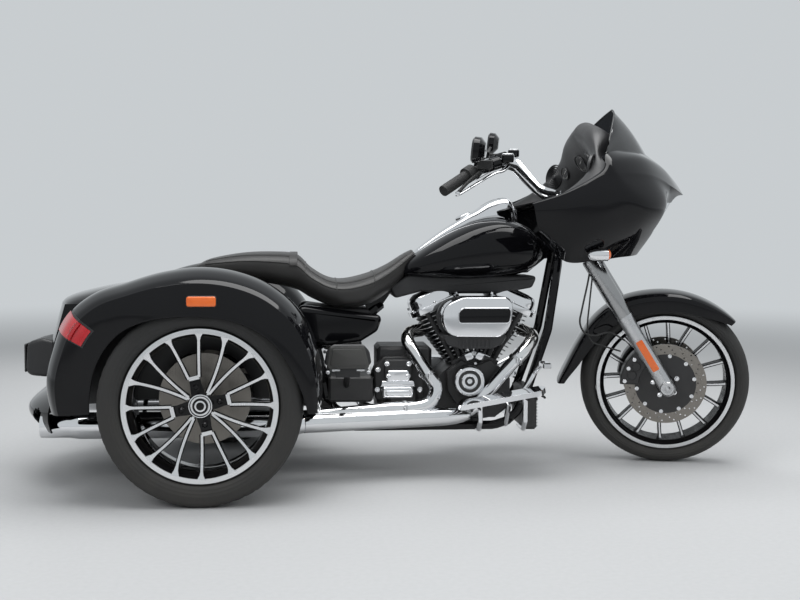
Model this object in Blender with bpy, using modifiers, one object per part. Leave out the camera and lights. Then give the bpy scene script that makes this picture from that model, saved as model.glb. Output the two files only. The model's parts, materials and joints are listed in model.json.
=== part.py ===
"""A touring trike: an open V-twin engine in a tube frame, one steered front wheel and two driven
rear wheels under wide fenders, with a trunk between them.

Metres, +Z up, +X forwards, +Y to the rider's left. The sizes below are measured with the rear axle at
x = 0 and the floor at z = 0; the last step moves the whole so that its box stands on the origin.
"""

import math

import bmesh
import bpy
from mathutils import Matrix, Vector

# Fits between pieces
seat_gap = 0.0005
running_gap = 0.0006
overrun = 0.01
weld_distance = 0.00001
pipe_bend = 0.060
plate_rounding = 0.004
case_rounding = 0.006
block_rounding = 0.008

# Stance
wheelbase = 1.675
half_track = 0.560
rake_angle = math.radians(26)
trail = 0.175
leg_angle = math.radians(32)
parked_turn = math.radians(-14)

# Rear wheels
rear_tyre_radius = 0.319
rear_tyre_half_width = 0.1075
rear_rim_radius = 0.244
rear_face_inset = 0.022
rear_hub_radius = 0.050

# Front wheel
front_tyre_radius = 0.3115
front_tyre_half_width = 0.065
front_rim_radius = 0.255
front_hub_radius = 0.040
disc_radius = 0.150
disc_thickness = 0.005
disc_offset = 0.074

# Cast wheels
ring_sides = 28
rim_lip = 0.014
rim_well = 0.030
spoke_width = 0.017
spoke_depth = 0.026
pair_count = 8
pair_half_spread = math.radians(12.5)
pair_root_spread = math.radians(5)
axle_radius = 0.012

# Frame
neck_setback = 0.0903
frame_half_width = 0.13
neck_height = 0.84
rail_radius = 0.016
backbone_half_width = 0.028
backbone_length = 0.84
backbone_drop = 0.32
backbone_rise = 0.055
fairing_arm_drop = 0.020
neck_radius = 0.032
stem_radius = 0.013
cradle_height = 0.165
mount_half_length = 0.030

# Engine
crank_forward = 0.935
crank_height = 0.285
bank_angle = math.radians(24)
crankcase_half_width = 0.105
crankcase_depth = 0.095
deck_distance = 0.120
deck_half_width = 0.052
barrel_length = 0.140
head_length = 0.070
barrel_base_half_width = 0.046
barrel_top_half_width = 0.080
barrel_base_half_depth = 0.060
barrel_top_half_depth = 0.075
fin_count = 6
fin_depth = 0.009
rocker_height = 0.072
rocker_half_length = 0.098
rocker_half_depth = 0.100
pushrod_radius = 0.009
lifter_height = 0.034
pushrod_inset = 0.014
cam_cover_radius = 0.056
cam_cover_reach = 0.085
gearbox_length = 0.200
gearbox_height = 0.250
gearbox_half_width = 0.100
gearbox_bottom = 0.200
starter_reach = 0.030
side_cover_lift = 0.020
side_cover_reach = 0.095
side_cover_length = 0.124
side_cover_height = 0.100
primary_reach = 0.095
primary_length = 0.455
primary_height = 0.210
primary_lift = 0.008
primary_rounding = 0.016
air_cleaner_length = 0.255
air_cleaner_height = 0.145
air_cleaner_depth = 0.110
air_cleaner_offset = 0.175
air_cleaner_lift = 0.208
air_cleaner_corner = 0.020
air_cleaner_rounding = 0.010
intake_radius = 0.026
breather_radius = 0.012
battery_length = 0.156
battery_space = 0.020
battery_height = 0.092
battery_half_width = 0.200
battery_base = 0.262
cooler_length = 0.050
cooler_height = 0.150
cooler_half_width = 0.120
cooler_space = 0.060

# Exhaust
header_radius = 0.024
header_reach = 0.335
port_height = 0.219
collector_radius = 0.033
collector_lead = 0.050
branch_rise = 0.027
muffler_radius = 0.045
muffler_length = 0.890
muffler_spread = 0.300
muffler_height = 0.205
muffler_wall = 0.003
muffler_front = 0.330

# Tank, console and seat
tank_length = 0.530
tank_rear = 0.655
tank_clearance = 0.0358
tank_height = 0.230
tank_half_width = 0.175
tank_squareness = 2.6
console_lift = 0.012
console_length = 0.400
console_half_width = 0.055
console_rear = 0.700
console_height = 0.300
seat_length = 0.768
seat_rear = -0.056
seat_base = 0.588
seat_height = 0.213
seat_half_width = 0.200

# Rear body
fender_radius = 0.427
fender_lip_radius = 0.282
fender_inner = 0.3855
fender_clearance = 0.0195
shell_wall = 0.005
tub_front = -0.062
tub_length = 0.430
tub_side_gap = 0.004
tub_floor = 0.404
tub_rim = 0.6196
tub_bulge = 0.062
tub_waist = 0.090
tub_foot_lean = 0.010
tub_waist_lean = 0.006
tub_rim_lean = 0.030
lid_rise = 0.060
lid_edge_gap = 0.004
lid_hinge_rise = 0.054
deck_lid_gap = 0.006
valance_rear = 0.500
valance_bulge = 0.165
valance_drop = 0.214
bracket_length = 0.125
bracket_height = 0.143
bracket_half_width = 0.100
bracket_rear = 0.665
bracket_lift = 0.008
bracket_rounding = 0.018
marker_length = 0.091
marker_height = 0.034
marker_depth = 0.014

# Rear axle
axle_tube_radius = 0.033
axle_half_length = 0.440
differential_radius = 0.055
differential_half_width = 0.075
axle_arm_radius = 0.018
axle_arm_reach = 0.200
axle_arm_drop = 0.030
calliper_length = 0.090

# Fairing
fairing_rear = 1.085
fairing_length = 0.652
fairing_half_width = 0.445
fairing_base = 0.760
fairing_height = 0.409
fairing_wall = 0.005
windshield_height = 0.180
windshield_wall = 0.004
dash_wall = 0.008
signal_radius = 0.021
signal_length = 0.078
signal_lift = 0.027
stalk_reach = 0.050
stalk_rise = 0.012

# Steering
lower_clamp_height = 0.800
upper_clamp_height = 0.925
clamp_thickness = 0.028
clamp_clearance = 0.006
leg_spread = 0.125
slider_radius = 0.029
slider_length = 0.310
cover_radius = 0.032
cover_length = 0.235
fork_tube_radius = 0.0245
clamp_boss = 0.012
bar_radius = 0.0155
bar_half_width = 0.440
bar_rise = 0.114
bar_sweep = 0.305
bar_base_forward = 1.185
bar_base_height = 1.020
grip_radius = 0.0195
grip_length = 0.125
grip_overhang = 0.006
housing_length = 0.028
reservoir_reach = 0.055
reservoir_lift = 0.012
reservoir_length = 0.050
reservoir_width = 0.060
reservoir_height = 0.028
perch_radius = 0.012
lever_reach = 0.060
lever_drop = 0.020
lever_radius = 0.006
lever_lead_shares = (0.8, 0, 0.25)
mirror_half_width = 0.075
mirror_half_height = 0.045
mirror_depth = 0.022
mirror_lead = 0.020
mirror_rise = 0.162
front_fender_radius = 0.345
front_fender_half_width = 0.080
front_fender_wall = 0.004
calliper_radius = 0.118
calliper_inset = 0.022
calliper_thickness = 0.055
calliper_width = 0.062
calliper_height = 0.105
slot_clearance = 0.005
lug_height = 0.075
lug_reach = 0.020
lug_radius = 0.012
tab_height = 0.262
tab_sweep = 0.030
tab_radius = 0.010

# Controls
board_length = 0.320
board_width = 0.118
board_thickness = 0.018
board_inner = 0.216
board_rear = 0.850
board_height = 0.257
board_pitch = math.radians(10)
board_corner = 0.020
passenger_board_base = 0.400
passenger_board_length = 0.166
passenger_board_height = 0.080
passenger_board_thickness = 0.022
passenger_board_offset = 0.320
pedal_radius = 0.008
pedal_rise = 0.143
pedal_elbow = 0.060
pad_length = 0.030
pad_width = 0.075
pad_height = 0.020
lever_pivot_rise = 0.050
lever_toe_rise = 0.135
lever_heel_rise = 0.100
lever_crank = 0.020

colours = {
    "gloss_black": ((0.012, 0.012, 0.014), 0.08, 0.0),
    "satin_black": ((0.020, 0.020, 0.021), 0.45, 0.0),
    "chrome": ((0.80, 0.81, 0.83), 0.06, 1.0),
    "machined": ((0.70, 0.71, 0.72), 0.22, 1.0),
    "rubber": ((0.025, 0.025, 0.025), 0.80, 0.0),
    "leather": ((0.022, 0.021, 0.020), 0.55, 0.0),
    "amber": ((0.95, 0.28, 0.02), 0.15, 0.0),
    "red_lens": ((0.60, 0.01, 0.02), 0.12, 0.0),
    "smoke": ((0.05, 0.055, 0.06), 0.05, 0.0),
    "lens": ((0.75, 0.78, 0.80), 0.08, 0.0),
}

tub_half_width = fender_inner - tub_side_gap
frame_reach = wheelbase + trail - neck_height * math.tan(rake_angle) - neck_setback
rocker_top = crank_height + (deck_distance + barrel_length + head_length + rocker_height) * math.cos(bank_angle)
tank_base = rocker_top + tank_clearance
fender_outer = half_track + rear_tyre_half_width + fender_clearance
rear_hub = Vector((0, 0, rear_tyre_radius))
steering_foot = Vector((wheelbase + trail, 0, 0))
steering_axis = Vector((-math.sin(rake_angle), 0, math.cos(rake_angle)))
leg_direction = Vector((-math.sin(leg_angle), 0, math.cos(leg_angle)))
side = Vector((0, 1, 0))


# radial share of the sidewall, share of the half width
rear_tyre_shares = ((0, 0.80), (0.45, 1), (0.86, 0.94), (1, 0.72))
front_tyre_shares = ((0, 0.76), (0.48, 1), (0.84, 0.74), (1, 0.24))


def parked_front_height():
    """Height of the front hub, straight ahead, that puts the turned tyre's lowest point on the floor."""
    turn = Matrix.Rotation(parked_turn, 3, steering_axis)
    axle = turn @ side
    upright = math.sqrt(1 - axle.z**2)
    deepest = max(
        (front_rim_radius + radial * (front_tyre_radius - front_rim_radius)) * upright
        + across * front_tyre_half_width * abs(axle.z)
        for radial, across in front_tyre_shares
    )
    swing = turn @ (Vector((wheelbase, 0, 0)) - steering_foot)
    return (deepest - steering_foot.z - swing.z) / (turn @ Vector((0, 0, 1))).z


def parked_low_angle():
    """How far round the front tyre, from straight down, its lowest point lies once it is turned."""
    down = Matrix.Rotation(-parked_turn, 3, steering_axis) @ Vector((0, 0, -1))
    return math.atan2(down.x, -down.z)


front_hub = Vector((wheelbase, 0, parked_front_height()))


# Scene and materials


def clear_scene():
    for existing in list(bpy.data.objects):
        bpy.data.objects.remove(existing)


def new_collection(name):
    made = bpy.data.collections.new(name)
    bpy.context.scene.collection.children.link(made)
    return made


clear_scene()
trike = new_collection("touring_trike")


def material(name):
    if name in bpy.data.materials:
        return bpy.data.materials[name]
    colour, roughness, metallic = colours[name]
    made = bpy.data.materials.new(name)
    made.use_nodes = True
    shader = made.node_tree.nodes["Principled BSDF"]
    shader.inputs["Base Color"].default_value = (*colour, 1)
    shader.inputs["Roughness"].default_value = roughness
    shader.inputs["Metallic"].default_value = metallic
    return made


# Shapes


def linked(name, data):
    made = bpy.data.objects.new(name, data)
    trike.objects.link(made)
    return made


def evaluated_mesh(made):
    bpy.context.view_layer.update()
    graph = bpy.context.evaluated_depsgraph_get()
    return bpy.data.meshes.new_from_object(made.evaluated_get(graph))


def settle(made):
    """Replace the object's data by its evaluated mesh, with loose caps welded and faces pointing out."""
    mesh = evaluated_mesh(made)
    mesh.transform(made.matrix_world)
    shape = bmesh.new()
    shape.from_mesh(mesh)
    bmesh.ops.remove_doubles(shape, verts=shape.verts, dist=seat_gap / 50)
    loose = [vertex for vertex in shape.verts if not vertex.link_faces]
    bmesh.ops.delete(shape, geom=loose, context="VERTS")
    bmesh.ops.recalc_face_normals(shape, faces=shape.faces)
    shape.to_mesh(mesh)
    shape.free()
    name = made.name
    bpy.data.objects.remove(made)
    return linked(name, mesh)


def from_faces(name, points, faces):
    mesh = bpy.data.meshes.new(name)
    mesh.from_pydata([tuple(point) for point in points], [], faces)
    shape = bmesh.new()
    shape.from_mesh(mesh)
    bmesh.ops.recalc_face_normals(shape, faces=shape.faces)
    shape.to_mesh(mesh)
    shape.free()
    return linked(name, mesh)


def combined(base, others, operation):
    for other in others:
        step = base.modifiers.new(operation.lower(), "BOOLEAN")
        step.operation = operation
        step.object = other
    name = base.name
    base.data = evaluated_mesh(base)
    base.modifiers.clear()
    for other in others:
        bpy.data.objects.remove(other)
    base.name = name
    return base


def joined(name, pieces):
    base = combined(pieces[0], pieces[1:], "UNION")
    base.name = name
    return base


def cut(base, cutters):
    return combined(base, cutters, "DIFFERENCE")


def swollen(made, gap=seat_gap):
    """A copy whose faces all stand proud by the gap, to cut a seat for the piece."""
    copy = linked(made.name + "_swollen", made.data.copy())
    step = copy.modifiers.new("swell", "DISPLACE")
    step.strength = gap * 1.6
    step.mid_level = 0
    step.direction = "NORMAL"
    return settle(copy)


def seated(base, neighbours, gap=seat_gap):
    return cut(base, [swollen(neighbour, gap) for neighbour in neighbours])


def without_offcuts(made):
    """Keep only the largest of the pieces that a cut has left."""
    shape = bmesh.new()
    shape.from_mesh(made.data)
    left = set(shape.verts)
    groups = []
    while left:
        group, fresh = set(), [left.pop()]
        while fresh:
            vertex = fresh.pop()
            group.add(vertex)
            near = [edge.other_vert(vertex) for edge in vertex.link_edges]
            fresh += [other for other in near if other in left]
            left.difference_update(near)
        groups.append(group)
    largest = max(groups, key=lambda group: sum(face.calc_area() for vertex in group for face in vertex.link_faces))
    offcuts = [vertex for vertex in shape.verts if vertex not in largest]
    bmesh.ops.delete(shape, geom=offcuts, context="VERTS")
    shape.to_mesh(made.data)
    shape.free()
    return made


def softened(made, width, segments=1):
    step = made.modifiers.new("edges", "BEVEL")
    step.width = width
    step.segments = segments
    step.limit_method = "ANGLE"
    step.angle_limit = math.radians(35)
    return settle(made)


def block(name, centre, size, rounding=0):
    mesh = bpy.data.meshes.new(name)
    shape = bmesh.new()
    bmesh.ops.create_cube(shape, size=1)
    shape.to_mesh(mesh)
    shape.free()
    mesh.transform(Matrix.Translation(Vector(centre)) @ Matrix.Diagonal((*size, 1)))
    made = linked(name, mesh)
    return softened(made, rounding) if rounding else made


def bar(name, start, end, radius, end_radius=None, sides=12):
    """A straight round bar, or a cone where the end radius differs."""
    start, end = Vector(start), Vector(end)
    mesh = bpy.data.meshes.new(name)
    shape = bmesh.new()
    bmesh.ops.create_cone(
        shape,
        cap_ends=True,
        segments=sides,
        radius1=radius,
        radius2=radius if end_radius is None else end_radius,
        depth=(end - start).length,
    )
    shape.to_mesh(mesh)
    shape.free()
    turn = (end - start).to_track_quat("Z", "Y").to_matrix().to_4x4()
    mesh.transform(Matrix.Translation((start + end) / 2) @ turn)
    return linked(name, mesh)


def eased(path, radius, steps):
    """The path with each of its bends replaced by an arc of a few points."""
    path = [Vector(place) for place in path]
    made = [path[0]]
    for before, here, after in zip(path, path[1:], path[2:]):
        back, ahead = before - here, after - here
        half = back.angle(ahead) / 2
        run = min(radius / math.tan(half), back.length * 0.48, ahead.length * 0.48)
        start = here + back.normalized() * run
        end = here + ahead.normalized() * run
        for step in range(steps + 1):
            share = step / steps
            made.append(start.lerp(here, share).lerp(here.lerp(end, share), share))
    made.append(path[-1])
    return made


def pipe(name, path, radius, bend=pipe_bend, steps=1, sides=8):
    """A round tube, filled, straight between its bends."""
    curve = bpy.data.curves.new(name, "CURVE")
    curve.dimensions = "3D"
    curve.bevel_depth = radius
    curve.bevel_resolution = sides // 2 - 2
    curve.use_fill_caps = True
    curve.resolution_u = 1
    spline = curve.splines.new("POLY")
    places = eased(path, bend, steps)
    spline.points.add(len(places) - 1)
    for knot, place in zip(spline.points, places):
        knot.co = (*place, 1)
    return settle(linked(name, curve))


def plate(name, outline, middle, thickness, upright=True, rounding=0):
    """A flat outline given its thickness. Upright outlines are (forward, up); flat ones (forward, left)."""
    curve = bpy.data.curves.new(name, "CURVE")
    curve.dimensions = "2D"
    curve.fill_mode = "BOTH"
    curve.extrude = thickness / 2
    spline = curve.splines.new("POLY")
    spline.points.add(len(outline) - 1)
    for knot, place in zip(spline.points, outline):
        knot.co = (place[0], place[1], 0, 1)
    spline.use_cyclic_u = True
    made = linked(name, curve)
    if upright:
        made.rotation_euler.x = math.pi / 2
        made.location.y = middle
    else:
        made.location.z = middle
    bpy.context.view_layer.update()
    made = settle(made)
    return softened(made, rounding) if rounding else made


def rounded_outline(corners, radius, steps=4):
    """The outline with each corner replaced by an arc."""
    outline = []
    count = len(corners)
    for index, corner in enumerate(corners):
        here = Vector(corner)
        back = Vector(corners[index - 1]) - here
        ahead = Vector(corners[(index + 1) % count]) - here
        half = back.angle(ahead) / 2
        run = min(radius / math.tan(half), back.length * 0.45, ahead.length * 0.45)
        start = here + back.normalized() * run
        end = here + ahead.normalized() * run
        for step in range(steps + 1):
            share = step / steps
            low = start.lerp(here, share)
            high = here.lerp(end, share)
            outline.append(tuple(low.lerp(high, share)))
    return outline


def turned(name, profile, centre, direction, sides):
    """A profile of (radius, along) carried round an axis, the outer side running from its far end back."""
    mesh = bpy.data.meshes.new(name)
    points = [(radius, 0, along) for radius, along in profile]
    closed = profile[0][0] > 0
    edges = [(i, i + 1) for i in range(len(points) - 1)]
    if closed:
        edges.append((len(points) - 1, 0))
    mesh.from_pydata(points, edges, [])
    made = linked(name, mesh)
    step = made.modifiers.new("turn", "SCREW")
    step.axis = "Z"
    step.steps = sides
    step.render_steps = sides
    step.use_merge_vertices = True
    step.merge_threshold = weld_distance
    made = settle(made)
    turn = Vector(direction).to_track_quat("Z", "Y").to_matrix().to_4x4()
    made.data.transform(Matrix.Translation(Vector(centre)) @ turn)
    return made


def loft(name, rings):
    """A closed skin through rings with the same number of points, capped at both ends."""
    count = len(rings[0])
    points = [point for ring in rings for point in ring]
    faces = []
    for row in range(len(rings) - 1):
        for column in range(count):
            after = (column + 1) % count
            low = row * count
            high = low + count
            faces.append((low + column, low + after, high + after, high + column))
    faces.append(tuple(range(count)))
    faces.append(tuple(range(len(points) - count, len(points))))
    return from_faces(name, points, faces)


def sheet(name, grid, wall, left_out=()):
    """A shell of even wall behind a grid of outer points, with the cells left out kept open."""
    rows, columns = len(grid), len(grid[0])
    points = [point for row in grid for point in row]
    faces = []
    for row in range(rows - 1):
        for column in range(columns - 1):
            if (row, column) in left_out:
                continue
            low = row * columns + column
            faces.append((low, low + 1, low + 1 + columns, low + columns))
    mesh = bpy.data.meshes.new(name)
    mesh.from_pydata([tuple(point) for point in points], [], faces)
    shape = bmesh.new()
    shape.from_mesh(mesh)
    bmesh.ops.remove_doubles(shape, verts=shape.verts, dist=seat_gap / 50)
    shape.to_mesh(mesh)
    shape.free()
    made = linked(name, mesh)
    step = made.modifiers.new("wall", "SOLIDIFY")
    step.thickness = wall
    step.offset = -1
    step.use_even_offset = True
    return settle(made)


def smooth_rows(rows, cuts):
    """Rows of numbers with more rows between them, on a smooth curve through the given ones."""
    made = []
    last = len(rows) - 1
    for index in range(last):
        before = rows[max(index - 1, 0)]
        start, end = rows[index], rows[index + 1]
        after = rows[min(index + 2, last)]
        for step in range(cuts):
            t = step / cuts
            row = []
            for a, b, c, d in zip(before, start, end, after):
                bend = 2 * a - 5 * b + 4 * c - d
                twist = 3 * b - a - 3 * c + d
                row.append(0.5 * (2 * b + (c - a) * t + bend * t * t + twist * t**3))
            made.append(tuple(row))
    made.append(tuple(rows[-1]))
    return made


def oval_ring(forward, low, high, half_width, power, count):
    """A squarish oval across the vehicle, between two heights."""
    ring = []
    for index in range(count):
        angle = 2 * math.pi * index / count
        c, s = math.cos(angle), math.sin(angle)
        across = math.copysign(abs(c) ** (2 / power), c) * half_width
        up = math.copysign(abs(s) ** (2 / power), s)
        ring.append((forward, across, (low + high) / 2 + up * (high - low) / 2))
    return ring


def mirrored(made, name):
    mesh = made.data.copy()
    mesh.transform(Matrix.Diagonal((1, -1, 1, 1)))
    mesh.flip_normals()
    return linked(name, mesh)


def placed(shares, length, width, height, start=(0, 0, 0)):
    """Points from rows of (forward, left, up) shares of three sizes, measured from a start."""
    base = Vector(start)
    return [base + Vector((f * length, l * width, u * height)) for f, l, u in shares]


def both_sides(points):
    return [Vector((point[0], -point[1], point[2])) for point in points]


made_nodes = {}


def keep(made, name, finish, origin=None):
    """Name a finished piece, give it its material, and put its origin at its own reference point."""
    made.name = name
    corners = [Vector(corner) for corner in made.bound_box]
    middle = sum(corners, Vector()) / 8
    place = middle if origin is None else Vector(origin)
    made.data.transform(Matrix.Translation(-place))
    made.location = place
    made.data.materials.clear()
    made.data.materials.append(material(finish))
    made.data.shade_smooth()
    made.data.set_sharp_from_angle(angle=math.radians(35))
    bpy.context.view_layer.update()
    made_nodes[name] = made
    return made


def in_place(name):
    """A working copy of a kept piece, with its place in its mesh."""
    kept = made_nodes[name]
    mesh = kept.data.copy()
    mesh.transform(kept.matrix_world)
    return linked(name + "_copy", mesh)


def seated_on(base, names, gap=seat_gap):
    copies = [in_place(name) for name in names]
    cutters = [swollen(copy, gap) for copy in copies]
    for copy in copies:
        bpy.data.objects.remove(copy)
    return without_offcuts(cut(base, cutters))


# Wheels


def rolled(made, hub, roll):
    about = Matrix.Translation(hub)
    made.data.transform(about @ Matrix.Rotation(-roll, 4, "Y") @ about.inverted())
    return made


def tyre(name, hub, inner, outer, half_width, shares, roll=0):
    """A tyre with one row of its points straight below the hub, or rolled on from there."""
    far = [(inner + radial * (outer - inner), across * half_width) for radial, across in shares]
    near = [(radius, -across) for radius, across in reversed(far)]
    made = turned(name, far + near, hub, side, ring_sides)
    return keep(rolled(made, hub, roll), name, "rubber", hub)


def spoke(hub, start, end, face, depth, widths):
    """A tapered spoke between two (radius, angle) places, its outer face at a share of each depth."""
    rings = []
    for (radius, angle), across, width in zip((start, end), face, widths):
        outward = Vector((math.cos(angle), 0, math.sin(angle)))
        along = Vector((-math.sin(angle), 0, math.cos(angle)))
        middle = hub + outward * radius
        ring = []
        for sideways, inward in ((-1, 0), (1, 0), (1, -1), (-1, -1)):
            narrow = 0.6 if inward else 1
            place = middle + along * sideways * width * narrow / 2
            ring.append(place + side * (across + inward * depth))
        rings.append(ring)
    return loft("spoke", rings)


def cast_wheel(hub, rim_radius, half_width, face, hub_radius, hub_ends, first_angle, roll=0):
    """Rim, hub and spokes of a wheel whose face looks along +Y: eight pairs of thin spokes."""
    well = rim_radius - rim_well
    flat = half_width * 0.7
    outer_lip = [(rim_radius, half_width * 0.9), (rim_radius, -half_width * 0.9)]
    inner_side = [
        (rim_radius - rim_lip, -half_width * 0.9),
        (well, -flat),
        (well, flat),
        (rim_radius - rim_lip, half_width * 0.9),
    ]
    pieces = [rolled(turned("rim", outer_lip + inner_side, hub, side, ring_sides), hub, roll)]
    pieces.append(bar("hub", hub + side * hub_ends[0], hub + side * hub_ends[1], hub_radius))
    root_face = face - (spoke_depth * 0.3 if face > spoke_depth else 0)
    for pair in range(pair_count):
        middle = first_angle + pair * 2 * math.pi / pair_count
        lug_pair = pair % 2 == 0
        root = rim_radius * (0.36 if lug_pair else 0.2)
        root_spread = pair_root_spread * (2 if lug_pair else 1)
        for lean in (-1, 1):
            start = (root, middle + lean * root_spread)
            end = (well + rim_lip / 2, middle + lean * pair_half_spread)
            step = lean * seat_gap
            faces = (root_face + step, face + step)
            pieces.append(spoke(hub, start, end, faces, spoke_depth, (spoke_width, spoke_width * 0.8)))
        if lug_pair:
            start = (hub_radius * 0.8, middle)
            end = (root + spoke_width / 2, middle)
            faces = (root_face - 2 * seat_gap, root_face - 2 * seat_gap)
            widths = (spoke_width * 2, spoke_width * 3)
            pieces.append(spoke(hub, start, end, faces, spoke_depth * 0.94, widths))
    return joined("wheel", pieces)


def rear_wheels():
    hub = rear_hub + side * half_track
    face = rear_tyre_half_width - rear_face_inset
    inner_end = axle_half_length + running_gap - half_track
    wheel = cast_wheel(
        hub, rear_rim_radius, rear_tyre_half_width, face, rear_hub_radius,
        (inner_end, face), math.radians(10),
    )
    rotor = turned(
        "rotor",
        [
            (disc_radius, disc_thickness / 2), (disc_radius, -disc_thickness / 2),
            (rear_hub_radius / 2, -disc_thickness / 2), (rear_hub_radius / 2, disc_thickness / 2),
        ],
        hub - side * rear_tyre_half_width * 0.8, side, 20,
    )
    wheel = joined("wheel", [wheel, rotor])
    right = mirrored(wheel, "right")
    keep(wheel, "rear_wheel_left", "gloss_black", hub)
    keep(right, "rear_wheel_right", "gloss_black", rear_hub - side * half_track)
    for name, sign in (("rear_tyre_left", 1), ("rear_tyre_right", -1)):
        tyre(
            name, rear_hub + side * half_track * sign, rear_rim_radius + seat_gap,
            rear_tyre_radius, rear_tyre_half_width, rear_tyre_shares,
        )


def front_wheel():
    hub_half = disc_offset + disc_thickness
    face = spoke_depth / 2
    wheel = cast_wheel(
        front_hub, front_rim_radius, front_tyre_half_width, face, front_hub_radius,
        (-hub_half, hub_half), math.radians(32), parked_low_angle(),
    )
    pieces = [wheel]
    for sign in (-1, 1):
        centre = front_hub + side * disc_offset * sign
        half = disc_thickness / 2
        hub_inside = front_hub_radius / 2
        ring = [(disc_radius, half), (disc_radius, -half), (hub_inside, -half), (hub_inside, half)]
        pieces.append(turned("rotor", ring, centre, side, ring_sides))
    wheel = joined("wheel", pieces)
    reach = side * (hub_half + overrun)
    wheel = cut(wheel, [bar("bore", front_hub - reach, front_hub + reach, axle_radius + running_gap)])
    keep(wheel, "front_wheel", "gloss_black", front_hub)
    tyre(
        "front_tyre", front_hub, front_rim_radius + seat_gap, front_tyre_radius,
        front_tyre_half_width, front_tyre_shares, parked_low_angle(),
    )


# Frame


# forward share of the reach, left share of the half width, upward share of the neck's height
downtube_shares = (
    (0.93, 0.16, 1.005), (0.925, 0.5, 0.90), (0.895, 0.68, 0.605), (0.835, 0.78, 0.33),
    (0.80, 0.86, 0.222), (0.745, 0.93, 0.196), (0.36, 1.0, 0.196), (0.305, 1.0, 0.25),
    (0.289, 1.0, 0.40), (0.268, 0.93, 0.535),
)
seat_rail_shares = (
    (0.445, 0.12, 0.71), (0.37, 0.69, 0.62), (0.26, 0.92, 0.53), (0.13, 1.02, 0.48),
    (0.037, 1.04, 0.4595), (-0.335, 1.04, 0.4595),
)
# forward share of the backbone's length, upward share of its drop, round its side view
backbone_shares = (
    (1.02, 1.0), (0.80, 0.88), (0.765, 0.685), (0.197, 0.50), (0.078, 0.39), (-0.018, 0.078),
    (0.006, -0.062), (0.054, 0.047), (0.131, 0.338), (0.70, 0.44), (0.775, 0.60), (0.815, 0.81),
    (1.03, 0.82),
)


def neck_place(height):
    """The point of the steering axis at a height."""
    return steering_foot + steering_axis * (height / math.cos(rake_angle))


def frame():
    start = (frame_reach + neck_radius * 1.4 - backbone_length, 0, neck_height + backbone_rise - backbone_drop)
    outline = [
        (start[0] + f * backbone_length, start[2] + u * backbone_drop) for f, u in backbone_shares
    ]
    pieces = [plate("backbone", outline, 0, 2 * backbone_half_width)]
    low = neck_place(lower_clamp_height + clamp_thickness / 2 + clamp_clearance)
    high = neck_place(upper_clamp_height - clamp_thickness / 2 - clamp_clearance)
    pieces.append(bar("neck", low, high, neck_radius, sides=16))
    for points in (downtube_shares, seat_rail_shares):
        run = placed(points, frame_reach, frame_half_width, neck_height)
        sides = 8 if points is downtube_shares else 6
        pieces.append(pipe("rail", run, rail_radius, sides=sides))
        pieces.append(pipe("rail", both_sides(run), rail_radius, sides=sides))
    for forward, width, bottom in (
        (crank_forward, 0.95, crank_height - crankcase_depth),
        (gearbox_centre(), 0.98, gearbox_bottom),
    ):
        top = bottom - seat_gap
        base = cradle_height - rail_radius / 2
        pieces.append(
            block(
                "engine_mount",
                (forward, 0, (top + base) / 2),
                (2 * mount_half_length, 2 * frame_half_width * width, top - base),
            )
        )
    rail = placed(seat_rail_shares, frame_reach, frame_half_width, neck_height)
    tail = rail[-1] + Vector((rail_radius, 0, 0))
    pieces.append(bar("tail", tail, tail - side * 2 * tail.y, rail_radius))
    step = placed(downtube_shares, frame_reach, frame_half_width, neck_height)[-3]
    pieces.append(bar("cross", step, step - side * 2 * step.y, rail_radius))
    nose = Vector((fairing_rear + fairing_length * 0.87, 0, neck_height - fairing_arm_drop))
    for sign in (-1, 1):
        root = neck_place(neck_height + neck_radius) + side * sign * neck_radius * 0.5
        tip = Vector((nose.x, sign * rail_radius * 3, nose.z))
        pieces.append(bar("fairing_arm", root, tip, rail_radius * 0.75, sides=8))
    made = joined("frame", pieces)
    reach = steering_axis * overrun
    made = cut(made, [bar("head_bore", low - reach, high + reach, stem_radius + running_gap)])
    return seated_on(made, ("fairing",))


# Engine


def bank(sign):
    """Along and across directions of the front (+1) or rear (-1) cylinder."""
    along = Vector((math.sin(bank_angle) * sign, 0, math.cos(bank_angle)))
    across = Vector((math.cos(bank_angle) * sign, 0, -math.sin(bank_angle)))
    return along, across


def crank():
    return Vector((crank_forward, 0, crank_height))


def gearbox_centre():
    return crank_forward - crankcase_rear() - seat_gap - gearbox_length / 2


def crankcase_rear():
    return deck_distance * 1.28


def crankcase_front():
    return deck_distance * 1.1


def crankcase():
    corners = []
    for sign in (-1, 1):
        along, across = bank(sign)
        deck = crank() + along * deck_distance
        ends = [deck - across * deck_half_width, deck + across * deck_half_width]
        ends = ends if sign > 0 else ends[::-1]
        corners.extend((end.x, end.z) for end in ends)
    bottom = crank_height - crankcase_depth
    front = crank_forward + crankcase_front()
    rear = crank_forward - crankcase_rear()
    corners += [
        (front, crank_height + crankcase_depth * 0.5),
        (front, crank_height - crankcase_depth * 0.45),
        (front - deck_distance * 0.45, bottom),
        (rear + deck_distance * 0.2, bottom),
        (rear, bottom + crankcase_depth * 0.35),
        (rear, crank_height + crankcase_depth * 0.35),
    ]
    return plate("crankcase", corners, 0, 2 * crankcase_half_width, rounding=case_rounding)


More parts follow.
